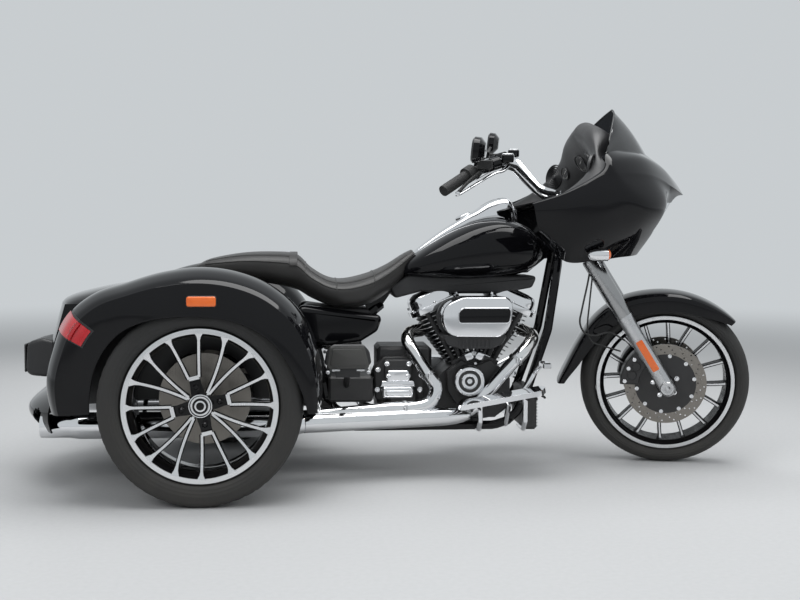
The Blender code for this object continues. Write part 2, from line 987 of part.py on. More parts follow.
def cylinder(sign):
    """Barrel and head of one bank: squarish fins that grow from base to head."""
    along, across = bank(sign)
    rows = []
    length = barrel_length + head_length
    pitch = length / fin_count
    for index in range(fin_count):
        low = index * pitch
        rows += [(low, 1), (low + pitch * 0.12, 0), (low + pitch * 0.5, 0), (low + pitch * 0.62, 1)]
    rows.append((length, 1))
    rings = []
    for rise, proud in rows:
        share = min(rise / barrel_length, 1)
        half_width = barrel_base_half_width + share * (barrel_top_half_width - barrel_base_half_width)
        half_depth = barrel_base_half_depth + share * (barrel_top_half_depth - barrel_base_half_depth)
        inset = fin_depth * (1 - proud)
        middle = crank() + along * (deck_distance + seat_gap + rise)
        ring = []
        for point in oval_ring(0, -half_width + inset, half_width - inset, half_depth - inset, 4, 8):
            ring.append(middle + across * point[2] + side * point[1])
        rings.append(ring)
    return loft("cylinder", rings)


def rocker_cover(sign):
    along, across = bank(sign)
    base = deck_distance + barrel_length + head_length + 2 * seat_gap
    # rise share of the height, share of the half length and depth
    shares = ((0, 1), (0.28, 1), (0.34, 0.9), (0.75, 0.86), (0.93, 0.76), (1, 0.6))
    rings = []
    for rise, width in shares:
        middle = crank() + along * (base + rise * rocker_height)
        ring = []
        half = rocker_half_length * width
        for point in oval_ring(0, -half, half, rocker_half_depth * width, 4, 16):
            ring.append(middle + across * point[2] + side * point[1])
        rings.append(ring)
    return loft("rocker_cover", rings)


# forward and upward shares of the deck's distance from the crank, round the cover's outline
cam_cover_shares = (
    (-0.85, 0.05), (-0.88, 0.62), (-0.45, 1.0), (0.0, 0.82), (0.45, 1.0), (0.88, 0.62), (0.80, 0.10),
    (0.25, -0.35), (-0.55, -0.40),
)


def cam_cover():
    """Right side of the crankcase: cover plate, round cover, lifter blocks and pushrod tubes."""
    face = -crankcase_half_width
    centre = crank() + Vector((-cam_cover_radius / 2, face, crankcase_depth / 2))
    outline = [
        (crank_forward + f * deck_distance, crank_height + u * deck_distance) for f, u in cam_cover_shares
    ]
    depth = cam_cover_reach * 0.42
    pieces = [plate("cover", outline, face - seat_gap - depth / 2, depth, rounding=plate_rounding)]
    shares = ((0, 1), (0.55, 1), (0.8, 0.93), (1, 0.7))
    reach = cam_cover_reach
    profile = [(0, reach)] + [
        (radius * cam_cover_radius, along * reach) for along, radius in reversed(shares)
    ] + [(0, 0)]
    pieces.append(turned("round", profile, centre - side * seat_gap, -side, 16))
    for sign in (-1, 1):
        along, across = bank(sign)
        base = crank() + along * (deck_distance + seat_gap)
        middle = side * (face + lifter_height * 0.1)
        ring_low, ring_high = [], []
        for width, depth_share in ((-0.6, -1), (1, -1), (1, 0.55), (-0.6, 0.55)):
            corner = across * width * lifter_height + middle + side * depth_share * lifter_height * 0.6
            ring_low.append(base + corner - along * lifter_height * 0.6)
            ring_high.append(base + corner + along * lifter_height * 0.5)
        pieces.append(loft("lifter", [ring_low, ring_high]))
        top = deck_distance + barrel_length + head_length + seat_gap
        for low, high in ((-0.1, -0.15), (0.55, 1.2)):
            start = base + across * low * lifter_height + side * (face + pushrod_inset)
            end = crank() + along * top + across * high * lifter_height + side * (face + pushrod_inset)
            pieces.append(bar("pushrod", start, end, pushrod_radius, sides=8))
    return joined("cam_cover", pieces)


def gearbox():
    centre = (gearbox_centre(), 0, gearbox_bottom + gearbox_height / 2)
    size = (gearbox_length, 2 * gearbox_half_width, gearbox_height)
    made = block("gearbox", centre, size, rounding=2 * case_rounding)
    dome = bar(
        "starter",
        (centre[0] + gearbox_length * 0.1, -gearbox_half_width + overrun, centre[2] + gearbox_height * 0.25),
        (centre[0] + gearbox_length * 0.1, -gearbox_half_width - starter_reach, centre[2] + gearbox_height * 0.25),
        gearbox_length * 0.2,
    )
    return joined("gearbox", [made, dome, gearbox_cover()])


def gearbox_cover():
    centre_x = gearbox_centre() - gearbox_length * 0.06
    centre_z = gearbox_bottom + side_cover_height * 0.5 + side_cover_lift
    half, tall = side_cover_length / 2, side_cover_height / 2
    # outward share of the reach, width share, height share
    shares = ((0, 1, 1), (0.45, 1, 1), (0.55, 0.92, 0.92), (0.85, 0.86, 0.84), (1, 0.7, 0.62))
    rings = []
    for out, wide, high in shares:
        across = overrun - gearbox_half_width - out * side_cover_reach
        ring = []
        for point in oval_ring(0, centre_z - tall * high, centre_z + tall * high, half * wide, 5, 16):
            ring.append((centre_x + point[1], across, point[2]))
        rings.append(ring)
    return loft("gearbox_cover", rings)


def primary_cover():
    """Left side: the long oval cover from crank to clutch."""
    middle = crank_height + primary_lift
    front = crank_forward + primary_height * 0.42
    rear = front - primary_length
    corners = [
        (front, middle + primary_height * 0.42), (front, middle - primary_height * 0.42),
        (rear, middle - primary_height * 0.5), (rear, middle + primary_height * 0.5),
    ]
    outline = rounded_outline(corners, primary_height * 0.45, 5)
    face = crankcase_half_width + seat_gap
    return plate("primary", outline, face + primary_reach / 2, primary_reach, rounding=primary_rounding)


# forward and upward shares of the air cleaner's length and height, round its outline
air_cleaner_shares = (
    (0.0, 0.52), (0.07, 0.82), (0.30, 1.0), (0.93, 1.0), (1.0, 0.80), (0.97, 0.30), (0.84, 0.02),
    (0.16, 0.04), (0.04, 0.22),
)


def air_cleaner():
    start = (crank_forward - air_cleaner_length * 0.56, crank_height + air_cleaner_lift)
    corners = [
        (start[0] + f * air_cleaner_length, start[1] + u * air_cleaner_height) for f, u in air_cleaner_shares
    ]
    outline = rounded_outline(corners, air_cleaner_corner, 2)
    middle = -air_cleaner_offset - air_cleaner_depth / 2
    pieces = [plate("shell", outline, middle, air_cleaner_depth, rounding=air_cleaner_rounding)]
    sump = [
        (start[0] + f * air_cleaner_length, start[1] + u * air_cleaner_height)
        for f, u in ((0.10, 0.2), (0.90, 0.2), (0.80, -0.27), (0.22, -0.25))
    ]
    pieces.append(
        plate("sump", sump, -air_cleaner_offset - air_cleaner_depth * 0.35, air_cleaner_depth * 0.6, rounding=block_rounding)
    )
    throat = Vector((crank_forward, -air_cleaner_offset - overrun, start[1] + air_cleaner_height * 0.42))
    pieces.append(bar("throat", throat, throat + side * air_cleaner_offset, intake_radius))
    head = deck_distance + barrel_length + head_length * 0.5
    for sign in (-1, 1):
        along, across = bank(sign)
        place = crank() + along * head - across * barrel_top_half_width * 0.55
        start_place = place - side * (air_cleaner_offset + overrun)
        end_place = place - side * (barrel_top_half_depth - overrun / 2)
        pieces.append(bar("breather", start_place, end_place, breather_radius, sides=12))
    made = joined("air_cleaner", pieces)
    return seated_on(made, ("cylinder_rear", "cylinder_front"))


# (forward from the crank, out from the middle, up from the mufflers to the ports)
rear_header_shares = (
    (-0.552, 0.3, 1.0), (-0.701, 0.85, 0.98), (-0.725, 1.45, 0.866), (-0.567, 1.95, 0.569), (-0.457, 2.1, 0.368),
    (-0.522, 2.15, 0.191), (-0.716, 2.2, 0.134), (-1.0, 2.35, 0.127),
)
front_header_shares = (
    (0.552, 0.3, 1.0), (0.642, 0.85, 0.933), (0.537, 1.40, 0.80), (0.343, 1.62, 0.585), (0.134, 1.68, 0.318),
    (-0.045, 1.75, 0.11), (-0.284, 1.95, 0.027), (-0.701, 2.2, 0.023),
)


# (back along the run from the crank to the mufflers, left, up)
branch_shares = (
    (0.479, -0.833, 0.63), (0.355, -0.533, 1), (0.331, 0, 1), (0.314, 0.533, 1), (0.182, 0.967, 0.37),
)


def header_place(forward, out, up):
    height = muffler_height + up * (crank_height + port_height - muffler_height)
    return (crank_forward + forward * header_reach, -out * crankcase_half_width, height)


def headers():
    """Both header pipes, the collector under them and the branch to the left muffler."""
    rear_path = [header_place(*shares) for shares in rear_header_shares]
    rear_path.append((muffler_front - overrun, -muffler_spread + header_radius * 0.6, muffler_height + header_radius))
    front_path = [header_place(*shares) for shares in front_header_shares]
    front_path.append((muffler_front - overrun, -muffler_spread + header_radius / 4, muffler_height))
    r = header_radius
    inner = crankcase_half_width
    pieces = [pipe("rear_header", rear_path, r), pipe("front_header", front_path, r)]
    collector_start = Vector(
        (crank_forward - collector_lead, -inner * 2.05, muffler_height + header_radius / 3)
    )
    collector_end = Vector((muffler_front - overrun, -muffler_spread, muffler_height))
    pieces.append(bar("collector", collector_start, collector_end, collector_radius, sides=16))
    branch = [
        (muffler_front + f * (crank_forward - muffler_front), l * muffler_spread, muffler_height + u * branch_rise)
        for f, l, u in branch_shares
    ]
    branch.append((muffler_front - overrun, muffler_spread, muffler_height))
    pieces.append(pipe("branch", branch, r * 0.9))
    made = joined("headers", pieces)
    neighbours = ("cylinder_rear", "cylinder_front", "gearbox", "muffler_right", "muffler_left")
    return seated_on(made, neighbours)


def muffler(sign):
    """A straight muffler with a hollow tip, hung from the frame's rail."""
    front = Vector((muffler_front, sign * muffler_spread, muffler_height))
    r = muffler_radius
    length = muffler_length
    wall = muffler_wall
    # radius share and length share of the outside, then the open tip's inside
    outside = ((0.62, 0), (0.85, 0.04), (1, 0.08), (1, 0.86), (0.9, 0.89), (0.9, 1))
    profile = [(r * radius, along * length) for radius, along in outside]
    inside = [(r * 0.9 - wall, length), (r * 0.9 - wall, length * 0.9), (0, length * 0.9)]
    profile = [(0, 0)] + profile + inside
    made = turned("muffler", profile[::-1], front, (-1, 0, 0), 16)
    rail_height = neck_height * seat_rail_shares[-1][2]
    hang = Vector((front.x - length * 0.62, front.y, front.z + r * 0.5))
    rail = Vector((hang.x, sign * frame_half_width * seat_rail_shares[-1][1], rail_height))
    strap = bar("strap", hang, rail, rail_radius * 0.5, sides=8)
    return seated_on(joined("muffler", [made, strap]), ("frame",))


# Tank, console and seat


# forward share of length, bottom and top shares of height, share of the half width
tank_shares = (
    (0.0, 0.06, 0.20, 0.34), (0.085, 0.03, 0.35, 0.66), (0.235, 0.01, 0.595, 0.86), (0.385, 0.0, 0.80, 0.96),
    (0.54, 0.0, 0.945, 1.0), (0.69, 0.03, 1.0, 0.97), (0.82, 0.075, 0.945, 0.86), (0.935, 0.16, 0.835, 0.66),
    (1.0, 0.29, 0.705, 0.40),
)


def fuel_tank():
    rings = []
    for f, low, high, width in smooth_rows(tank_shares, 1):
        x = tank_rear + f * tank_length
        bottom, top = tank_base + low * tank_height, tank_base + high * tank_height
        rings.append(oval_ring(x, bottom, top, width * tank_half_width, tank_squareness, 20))
    made = loft("fuel_tank", rings)
    return seated_on(made, ("frame",))


# forward share of length, bottom and top shares of rise, share of the half width
console_shares = (
    (0.0, 0.18, 0.25, 0.35), (0.06, 0.22, 0.32, 0.6), (0.28, 0.40, 0.545, 0.78), (0.52, 0.58, 0.745, 0.92),
    (0.62, 0.62, 0.82, 1.0), (0.72, 0.63, 0.91, 1.06), (0.84, 0.62, 0.967, 1.06), (0.93, 0.58, 0.955, 0.95),
    (1.0, 0.52, 0.83, 0.6),
)


def tank_console():
    rings = []
    for f, low, high, width in smooth_rows(console_shares, 1):
        x = console_rear + f * console_length
        base = tank_base + console_lift
        rings.append(
            oval_ring(x, base + low * console_height, base + high * console_height, width * console_half_width, 3, 12)
        )
    return seated_on(loft("tank_console", rings), ("fuel_tank",))


# forward share of length, bottom and top shares of rise, share of the half width
seat_shares = (
    (0.0, 0.66, 0.74, 0.50), (0.06, 0.55, 0.835, 0.70), (0.20, 0.48, 0.925, 0.76), (0.34, 0.40, 0.945, 0.78),
    (0.45, 0.31, 0.905, 0.78), (0.52, 0.17, 0.68, 0.86), (0.60, 0.05, 0.515, 0.96), (0.68, 0.0, 0.485, 1.0),
    (0.79, 0.06, 0.58, 0.90), (0.88, 0.25, 0.725, 0.66), (0.96, 0.52, 0.91, 0.47), (1.0, 0.74, 0.985, 0.36),
)


def seat():
    rings = []
    for f, low, high, width in smooth_rows(seat_shares, 1):
        x = seat_rear + f * seat_length
        bottom, top = seat_base + low * seat_height, seat_base + high * seat_height
        rings.append(oval_ring(x, bottom, top, width * seat_half_width, 3, 14))
    return seated_on(loft("seat", rings), ("frame", "fuel_tank", "tank_console", "rear_deck"))


# Rear body


# angle round the hub in degrees, crown and lip shares of the fender's crown and lip radius, outer share
fender_shares = (
    (-4, 0.876, 1.19, 0.978), (12, 0.905, 1.117, 0.99), (27, 0.944, 1.078, 0.997), (40, 0.98, 1.07, 1.0),
    (58, 1.0, 1.036, 1.0), (76, 0.998, 1.005, 1.0), (91, 0.999, 1.0, 1.0), (106, 1.007, 1.035, 1.0),
    (122, 1.047, 1.115, 0.997), (135, 1.135, 1.18, 0.978), (147, 1.183, 1.21, 0.955), (160, 1.17, 1.22, 0.94),
    (172, 1.164, 1.216, 0.93), (184, 1.12, 1.216, 0.93),
)
# share of the way across, share of the fall from crown to lip
fender_section = (
    (0.0, 0.34), (0.13, 0.13), (0.36, 0.0), (0.64, 0.035), (0.86, 0.21), (0.99, 0.58), (0.995, 1.0),
)
station_count = 2
lamp_rows = (20, 22)
lamp_columns = (3, 5)


def fender_point(station, section):
    angle, crown, lip, outer = station
    across, fall = section
    high = crown * fender_radius
    low = lip * fender_lip_radius
    radius = high - fall * (high - low)
    reach = outer * fender_outer - fender_inner
    place = math.radians(angle)
    return Vector(
        (
            radius * math.cos(place),
            fender_inner + across * reach,
            rear_tyre_radius + radius * math.sin(place),
        )
    )


def fender_grid():
    stations = smooth_rows(fender_shares, station_count)
    return [[fender_point(station, section) for section in fender_section] for station in stations]


def fender():
    grid = fender_grid()
    left_out = {
        (row, column) for row in range(*lamp_rows) for column in range(*lamp_columns)
    }
    return sheet("fender", [row[::-1] for row in grid], shell_wall, {
        (row, len(fender_section) - 2 - column) for row, column in left_out
    })


def tail_lamp():
    """The lens that fills the window in the fender's rear corner, flush with it."""
    grid = fender_grid()
    rows = range(lamp_rows[0], lamp_rows[1] + 1)
    columns = range(lamp_columns[0], lamp_columns[1] + 1)
    patch = [[grid[row][column] for column in columns] for row in rows]
    middle = sum((point for row in patch for point in row), Vector()) / (len(rows) * len(columns))
    share = 1 - 2.2 * seat_gap / (patch[0][0] - patch[-1][0]).length * 2
    patch = [[middle.lerp(point, share) for point in row] for row in patch]
    return sheet("tail_lamp", [row[::-1] for row in patch], shell_wall * 4)


def deck_profile(share_across):
    """The body between the fenders, ahead of the trunk: it carries on from their inner edges."""
    rows = []
    for station in fender_shares:
        if station[0] > 97:
            break
        point = fender_point(station, fender_section[0])
        rise = 0.012 * (1 - abs(share_across) ** 2)
        point.x += rise * math.cos(math.radians(station[0]))
        point.z += rise * math.sin(math.radians(station[0]))
        point.y = share_across * tub_half_width
        rows.append(point)
    rows.append(Vector((tub_front + deck_lid_gap, rows[-1].y, rows[-1].z)))
    return rows


def rear_deck():
    columns = [deck_profile(share) for share in (1, 0.5, 0, -0.5, -1)]
    grid = [list(row) for row in zip(*columns)]
    made = sheet("rear_deck", grid, shell_wall)
    return seated_on(made, ("frame",))


def tub_ring(height, rear, inset, front_inset=None):
    """Outline of the trunk at one height, its rear edge bowed out behind."""
    front = tub_front - (inset if front_inset is None else front_inset)
    half = tub_half_width - inset
    ring = [Vector((front, -half, height)), Vector((front, half, height))]
    steps = 8
    for index in range(steps + 1):
        share = 1 - 2 * index / steps
        bow = tub_bulge * (1 - share * share)
        ring.append(Vector((rear - bow + inset, half * share, height)))
    return ring


def trunk_tub():
    rear = tub_front - tub_length
    outside = [
        tub_ring(tub_floor, rear - tub_foot_lean, 0), tub_ring(tub_floor + tub_waist, rear - tub_waist_lean, 0),
        tub_ring(tub_rim, rear + tub_rim_lean, 0),
    ]
    inside = [
        tub_ring(tub_floor + shell_wall, rear - tub_foot_lean, shell_wall),
        tub_ring(tub_floor + tub_waist, rear - tub_waist_lean, shell_wall),
        tub_ring(tub_rim + overrun, rear + tub_rim_lean, shell_wall),
    ]
    made = cut(loft("trunk_tub", outside), [loft("hollow", inside)])
    made = joined("trunk_tub", [made, seated_on(valance(), ("muffler_right", "muffler_left"), 4 * shell_wall / 2)])
    return seated_on(made, ("rear_deck",))


# share of the way back, share of the rise
lid_shares = ((0, 0), (0, 0.62), (0.06, 0.9), (0.30, 1), (0.60, 0.9), (0.85, 0.5), (0.98, 0.12), (1, 0))


def trunk_lid():
    """A shallow crowned lid on the tub's rim, hinged along its front edge."""
    rear = tub_front - tub_length + tub_rim_lean
    rim = tub_rim + seat_gap
    rows = []
    for back, rise in lid_shares:
        row = []
        for share in (1, 1, 0.93, 0.5, 0, -0.5, -0.93, -1, -1):
            bow = tub_bulge * (1 - share * share)
            x = tub_front - lid_edge_gap + back * (rear - bow - tub_front + lid_edge_gap)
            y = share * (tub_half_width - lid_edge_gap)
            row.append(Vector((x, y, rim)))
        for index in range(1, 8):
            edge = 0.62 if index in (1, 7) else (0.85 if index in (2, 6) else 1)
            row[index].z = rim + lid_rise * rise * edge
        rows.append(row)
    made = sheet("trunk_lid", [row[::-1] for row in rows], shell_wall)
    below = block("below", (rear, 0, rim - lid_rise / 2), (2 * tub_length, 3 * tub_half_width, lid_rise))
    return cut(made, [below])


# share of the drop, share of the bulge
valance_shares = ((0, -0.1), (0.10, 0), (0.35, 0.12), (0.62, 0.60), (0.74, 0.72), (0.86, 0.66), (1, 0.36))


def valance():
    """Lower rear edge of the body, bowed back to the middle."""
    rows = []
    # downward share of the drop, outward share of the bulge
    for down, out in valance_shares:
        row = []
        for index in range(13):
            share = 1 - 2 * index / 12
            bow = (1 - share * share) * (tub_bulge + out * (valance_bulge - tub_bulge)) + out * 0.03
            x = -valance_rear - bow
            row.append(Vector((x, share * tub_half_width, tub_floor + shell_wall / 2 - down * valance_drop)))
        rows.append(row)
    return sheet("rear_valance", rows, shell_wall)


def plate_bracket():
    centre = (-bracket_rear + bracket_length / 2, 0, tub_floor + bracket_lift)
    made = block("plate_bracket", centre, (bracket_length, 2 * bracket_half_width, bracket_height), rounding=bracket_rounding)
    return seated_on(made, ("trunk_tub",))


def marker():
    top = rear_tyre_radius + fender_radius
    inner = fender_outer - shell_wall * 0.8
    centre = (marker_length * 0.09, inner + marker_depth / 2, top - fender_radius * 0.235)
    made = block("marker", centre, (marker_length, marker_depth, marker_height), rounding=marker_depth * 0.3)
    return seated_on(made, ("rear_fender_left",))


def rear_axle():
    """Axle housing with its differential, arms to the frame and a calliper at each end."""
    end = side * axle_half_length
    pieces = [bar("housing", rear_hub - end, rear_hub + end, axle_tube_radius, sides=12)]
    half = side * differential_half_width
    pieces.append(bar("differential", rear_hub - half, rear_hub + half, differential_radius, sides=16))
    riser = placed(downtube_shares, frame_reach, frame_half_width, neck_height)[-3]
    for sign in (-1, 1):
        arm = [
            rear_hub + side * sign * frame_half_width * 1.3,
            Vector((axle_arm_reach, sign * frame_half_width * 1.2, rear_tyre_radius - axle_arm_drop)),
            Vector((riser.x, sign * riser.y, riser.z + axle_arm_drop)),
        ]
        pieces.append(pipe("arm", arm, axle_arm_radius))
    made = joined("rear_axle", pieces)
    return seated_on(made, ("frame",))


# Fairing


# rows from the rear edge to the nose; each holds five (forward, left, up) shares from top edge to bottom edge
fairing_shares = (
    ((0.0, 0.90, 0.494), (0.002, 0.915, 0.485), (0.004, 0.92, 0.47),
     (0.012, 0.92, 0.40), (0.035, 0.87, 0.28), (0.077, 0.765, 0.166)),
    ((0.176, 0.945, 0.592), (0.178, 0.965, 0.583), (0.18, 0.975, 0.565),
     (0.184, 1.0, 0.44), (0.19, 0.93, 0.18), (0.20, 0.765, 0.005)),
    ((0.36, 0.90, 0.763), (0.365, 0.925, 0.75), (0.37, 0.94, 0.73),
     (0.391, 0.99, 0.54), (0.39, 0.93, 0.27), (0.376, 0.70, 0.015)),
    ((0.404, 0.80, 0.913), (0.43, 0.865, 0.843), (0.466, 0.90, 0.742),
     (0.60, 0.89, 0.47), (0.56, 0.764, 0.22), (0.514, 0.584, 0.039)),
    ((0.58, 0.50, 0.957), (0.632, 0.60, 0.89), (0.67, 0.69, 0.733),
     (0.755, 0.66, 0.49), (0.70, 0.54, 0.24), (0.637, 0.404, 0.054)),
    ((0.725, 0.23, 0.946), (0.808, 0.30, 0.828), (0.865, 0.36, 0.649),
     (0.817, 0.35, 0.543), (0.761, 0.28, 0.27), (0.70, 0.20, 0.073)),
    ((0.802, 0.0, 0.938), (0.927, 0.0, 0.767), (1.0, 0.0, 0.604),
     (0.941, 0.0, 0.557), (0.832, 0.0, 0.272), (0.717, 0.0, 0.079)),
)
fairing_count = 1
profile_count = 2
headlamp_columns = (4, 8)
headlamp_rows = (6, 8)


def fairing_grid():
    """Outer points of the fairing, from the right wing's edge round the nose to the left wing's."""
    flat = [[value for point in station for value in point] for station in fairing_shares]
    half = []
    for row in smooth_rows(flat, fairing_count):
        points = [tuple(row[index:index + 3]) for index in range(0, len(row), 3)]
        column = []
        for f, l, u in smooth_rows(points, profile_count):
            column.append(
                Vector((fairing_rear + f * fairing_length, l * fairing_half_width, fairing_base + u * fairing_height))
            )
        half.append(column)
    right = [both_sides(column) for column in half]
    return right + half[::-1][1:]


def fairing():
    grid = fairing_grid()
    left_out = {
        (column, row) for column in range(*headlamp_columns) for row in range(*headlamp_rows)
    }
    return sheet("fairing", grid, fairing_wall, left_out)


def headlamp():
    """The lens that fills the opening in the nose, over both lamps."""
    grid = fairing_grid()
    columns = range(headlamp_columns[0], headlamp_columns[1] + 1)
    rows = range(headlamp_rows[0], headlamp_rows[1] + 1)
    patch = [[grid[column][row] for row in rows] for column in columns]
    middle = sum((point for row in patch for point in row), Vector()) / (len(rows) * len(columns))
    share = 1 - 6 * seat_gap / (patch[0][0] - patch[0][-1]).length
    patch = [[middle.lerp(point, share) for point in row] for row in patch]
    return seated_on(sheet("headlamp", patch, fairing_wall * 1.5), ("fairing",))


# three stations from the middle outwards; each holds (forward, left, up) shares from the lower rear edge over the
# gauges' brow to the foot of the windshield, and the fairing's top edge makes the fourth
dash_shares = (
    ((0.56, 0.0, 0.70), (0.485, 0.0, 0.84), (0.415, 0.0, 0.99), (0.355, 0.0, 1.15), (0.40, 0.0, 1.245),
     (0.48, 0.0, 1.225), (0.64, 0.0, 1.03)),
    ((0.49, 0.36, 0.67), (0.425, 0.36, 0.80), (0.385, 0.37, 0.92), (0.36, 0.38, 1.06), (0.40, 0.38, 1.145),
     (0.48, 0.37, 1.115), (0.57, 0.34, 1.0)),
    ((0.30, 0.66, 0.58), (0.33, 0.66, 0.68), (0.345, 0.66, 0.78), (0.355, 0.65, 0.86), (0.37, 0.64, 0.92),
     (0.39, 0.62, 0.935), (0.42, 0.58, 0.91)),
)
dash_count = 2


def fairing_place(f, l, u):
    return Vector((fairing_rear + f * fairing_length, l * fairing_half_width, fairing_base + u * fairing_height))


def fairing_edge(index):
    """A point just inside the fairing's top edge, and the directions down its side and out of it."""
    grid = fairing_grid()
    column = max(int(index), 1)
    edge, after = grid[column][0], grid[column + 1][0]
    down = (grid[column][profile_count] - edge).normalized()
    outward = (after - grid[column - 1][0]).cross(down).normalized()
    if outward.y > 0:
        outward.negate()
    place = grid[int(index)][0].lerp(grid[int(index) + 1][0], index - int(index))
    return place - outward * fairing_wall * 1.5 + down * fairing_wall


def dashboard():
    stations = [[fairing_place(f, -l, u) for f, l, u in station] for station in dash_shares]
    stations.append([fairing_edge(index * fairing_count * 0.4) for index in range(len(dash_shares[0]))])
    flat = [[value for point in station for value in point] for station in stations]
    half = []
    for row in smooth_rows(flat, dash_count):
        points = [tuple(row[index:index + 3]) for index in range(0, len(row), 3)]
        half.append([Vector(point) for point in smooth_rows(points, dash_count)])
    left = [both_sides(column) for column in half]
    grid = left[::-1] + half[1:]
    made = sheet("dashboard", [column[::-1] for column in grid], dash_wall)
    return seated_on(made, ("fairing", "frame"))


# (forward, left, up) shares of the windshield's top edge, over the fairing's stations from side to middle
windshield_shares = ((0.447, 0.62, 1.03), (0.515, 0.36, 1.229), (0.554, 0.18, 1.32), (0.576, 0.0, 1.369))
windshield_first = len(fairing_shares) - len(windshield_shares)
windshield_overlap = 0.006


def windshield():
    """The screen stands just inside the fairing's top edge."""
    grid = fairing_grid()
    half = []
    for index, top in enumerate(windshield_shares):
        column = (windshield_first + index) * fairing_count
        edge = grid[column][0]
        down = (grid[column][1] - edge).normalized()
        outward = (grid[column + 1][0] - grid[column - 1][0]).cross(down).normalized()
        if outward.x < 0:
            outward.negate()
        inside = edge - outward * fairing_wall * 2
        crest = Vector(
            (
                fairing_rear + top[0] * fairing_length,
                -top[1] * fairing_half_width,
                fairing_base + top[2] * fairing_height,
            )
        )
        points = [inside + down * windshield_overlap]
        for step in range(4):
            share = step / 3
            bow = outward * windshield_height * 0.06 * math.sin(math.pi * share)
            points.append(inside.lerp(crest, share) + bow)
        half.append(points)
    left = [both_sides(points) for points in half]
    grid = half + left[::-1][1:]
    made = sheet("windshield", grid, windshield_wall)
    return seated_on(made, ("fairing",))


def turn_signal(sign):
    centre = Vector((fairing_rear + fairing_length * 0.36, sign * fairing_half_width * 0.845, fairing_base + signal_lift))
    half = signal_length / 2
    r = signal_radius
    profile = [(0, half), (r * 0.8, half), (r, half * 0.8), (r * 0.95, 0), (r * 0.6, -half * 0.75), (0, -half)]
    made = turned("signal", profile, centre, (1, 0, 0), 16)
    stalk = bar("stalk", centre, centre + Vector((0, -sign * stalk_reach, stalk_rise)), r * 0.4, sides=8)
    return seated_on(joined("signal", [made, stalk]), ("fairing",))


# Steering


def leg_place(height, sign=0):
    """The point of a fork leg's axis at a height."""
    run = (height - front_hub.z) / math.cos(leg_angle)
    return front_hub + leg_direction * run + side * leg_spread * sign


def clamp(name, height):
    centre = neck_place(height)
    half = steering_axis * clamp_thickness / 2
    pieces = [bar(name, centre - half, centre + half, neck_radius, sides=12)]
    for sign in (-1, 1):
        leg = leg_place(height, sign)
        low, high = leg - leg_direction * clamp_thickness / 2, leg + leg_direction * clamp_thickness / 2
        pieces.append(bar(name, low, high, fork_tube_radius + clamp_boss, sides=12))
        ring_start, ring_end = [], []
        for up, wide in ((-1, -1), (-1, 1), (1, 1), (1, -1)):
            shift = steering_axis * up * clamp_thickness * 0.42
            ring_start.append(centre + shift + side.cross(steering_axis) * wide * neck_radius * 0.8)
            ring_end.append(leg + shift + side.cross(steering_axis) * wide * neck_radius * 0.8)
        pieces.append(loft(name, [ring_start, ring_end]))
    return pieces


def fork_tree():
    pieces = clamp("lower_clamp", lower_clamp_height) + clamp("upper_clamp", upper_clamp_height)
    low, high = neck_place(lower_clamp_height), neck_place(upper_clamp_height)
    pieces.append(bar("stem", low, high, stem_radius, sides=12))
    made = joined("fork_tree", pieces)
    return seated_on(made, ("fork_leg_right", "fork_leg_left"))


def fork_leg(sign):
    axle = leg_place(front_hub.z, sign)
    foot = axle - leg_direction * slider_radius * 1.2
    shoulder = axle + leg_direction * slider_length
    neck = shoulder + leg_direction * cover_length
    top = leg_place(upper_clamp_height + clamp_thickness, sign)
    lower_stop = leg_place(lower_clamp_height - clamp_thickness * 0.8, sign)
    pieces = [
        bar("slider", foot, shoulder, slider_radius, sides=12),
        bar("cover", shoulder - leg_direction * overrun, lower_stop, cover_radius, sides=12),
        bar("tube", shoulder, top, fork_tube_radius, sides=12),
        bar("axle_boss", axle - side * sign * slider_radius * 0.9, axle + side * sign * slider_radius * 1.15,
            slider_radius * 0.85, sides=16),
    ]
    made = joined("fork_leg", pieces)
    return seated_on(made, ("front_axle",))


def front_axle():
    reach = leg_spread + slider_radius * 1.0
    shaft = bar("shaft", front_hub - side * reach, front_hub + side * reach, axle_radius, sides=12)
    return shaft


def calliper(sign):
    """Brake calliper behind the leg, its slot round the disc."""
    lean = math.radians(145)
    centre = front_hub + Vector((math.cos(lean), 0, math.sin(lean))) * calliper_radius
    centre += side * sign * (leg_spread - slider_radius - calliper_inset)
    made = block("calliper", (0, 0, 0), (calliper_thickness, calliper_width, calliper_height), rounding=block_rounding)
    turn = Matrix.Rotation(math.radians(90) - lean, 4, "Y")
    made.data.transform(Matrix.Translation(centre) @ turn)
    disc_centre = front_hub + side * sign * disc_offset
    slot_half = disc_thickness / 2 + slot_clearance
    slot = bar("slot", disc_centre - side * slot_half, disc_centre + side * slot_half, disc_radius + slot_clearance, sides=40)
    made = cut(made, [slot])
    lug = leg_place(front_hub.z + lug_height, sign)
    bracket = bar("lug", centre + side * sign * lug_reach, lug, lug_radius, sides=8)
    made = joined("calliper", [made, bracket])
    return seated_on(made, ("fork_leg_right" if sign < 0 else "fork_leg_left",))


# forward, left and upward shares of the bar's sweep, half width and rise, from clamp to end
bar_shares = (
    (0.25, 0.0, -0.16), (0.24, 0.10, -0.16), (0.10, 0.20, -0.08), (0.0, 0.25, 0.05), (-0.27, 0.47, 0.84),
    (-0.42, 0.60, 1.0), (-0.69, 0.74, 0.78), (-1.0, 1.0, 0.22),
)


def bar_path():
    start = (bar_base_forward, 0, bar_base_height)
    return placed(bar_shares, bar_sweep, bar_half_width, bar_rise, start)


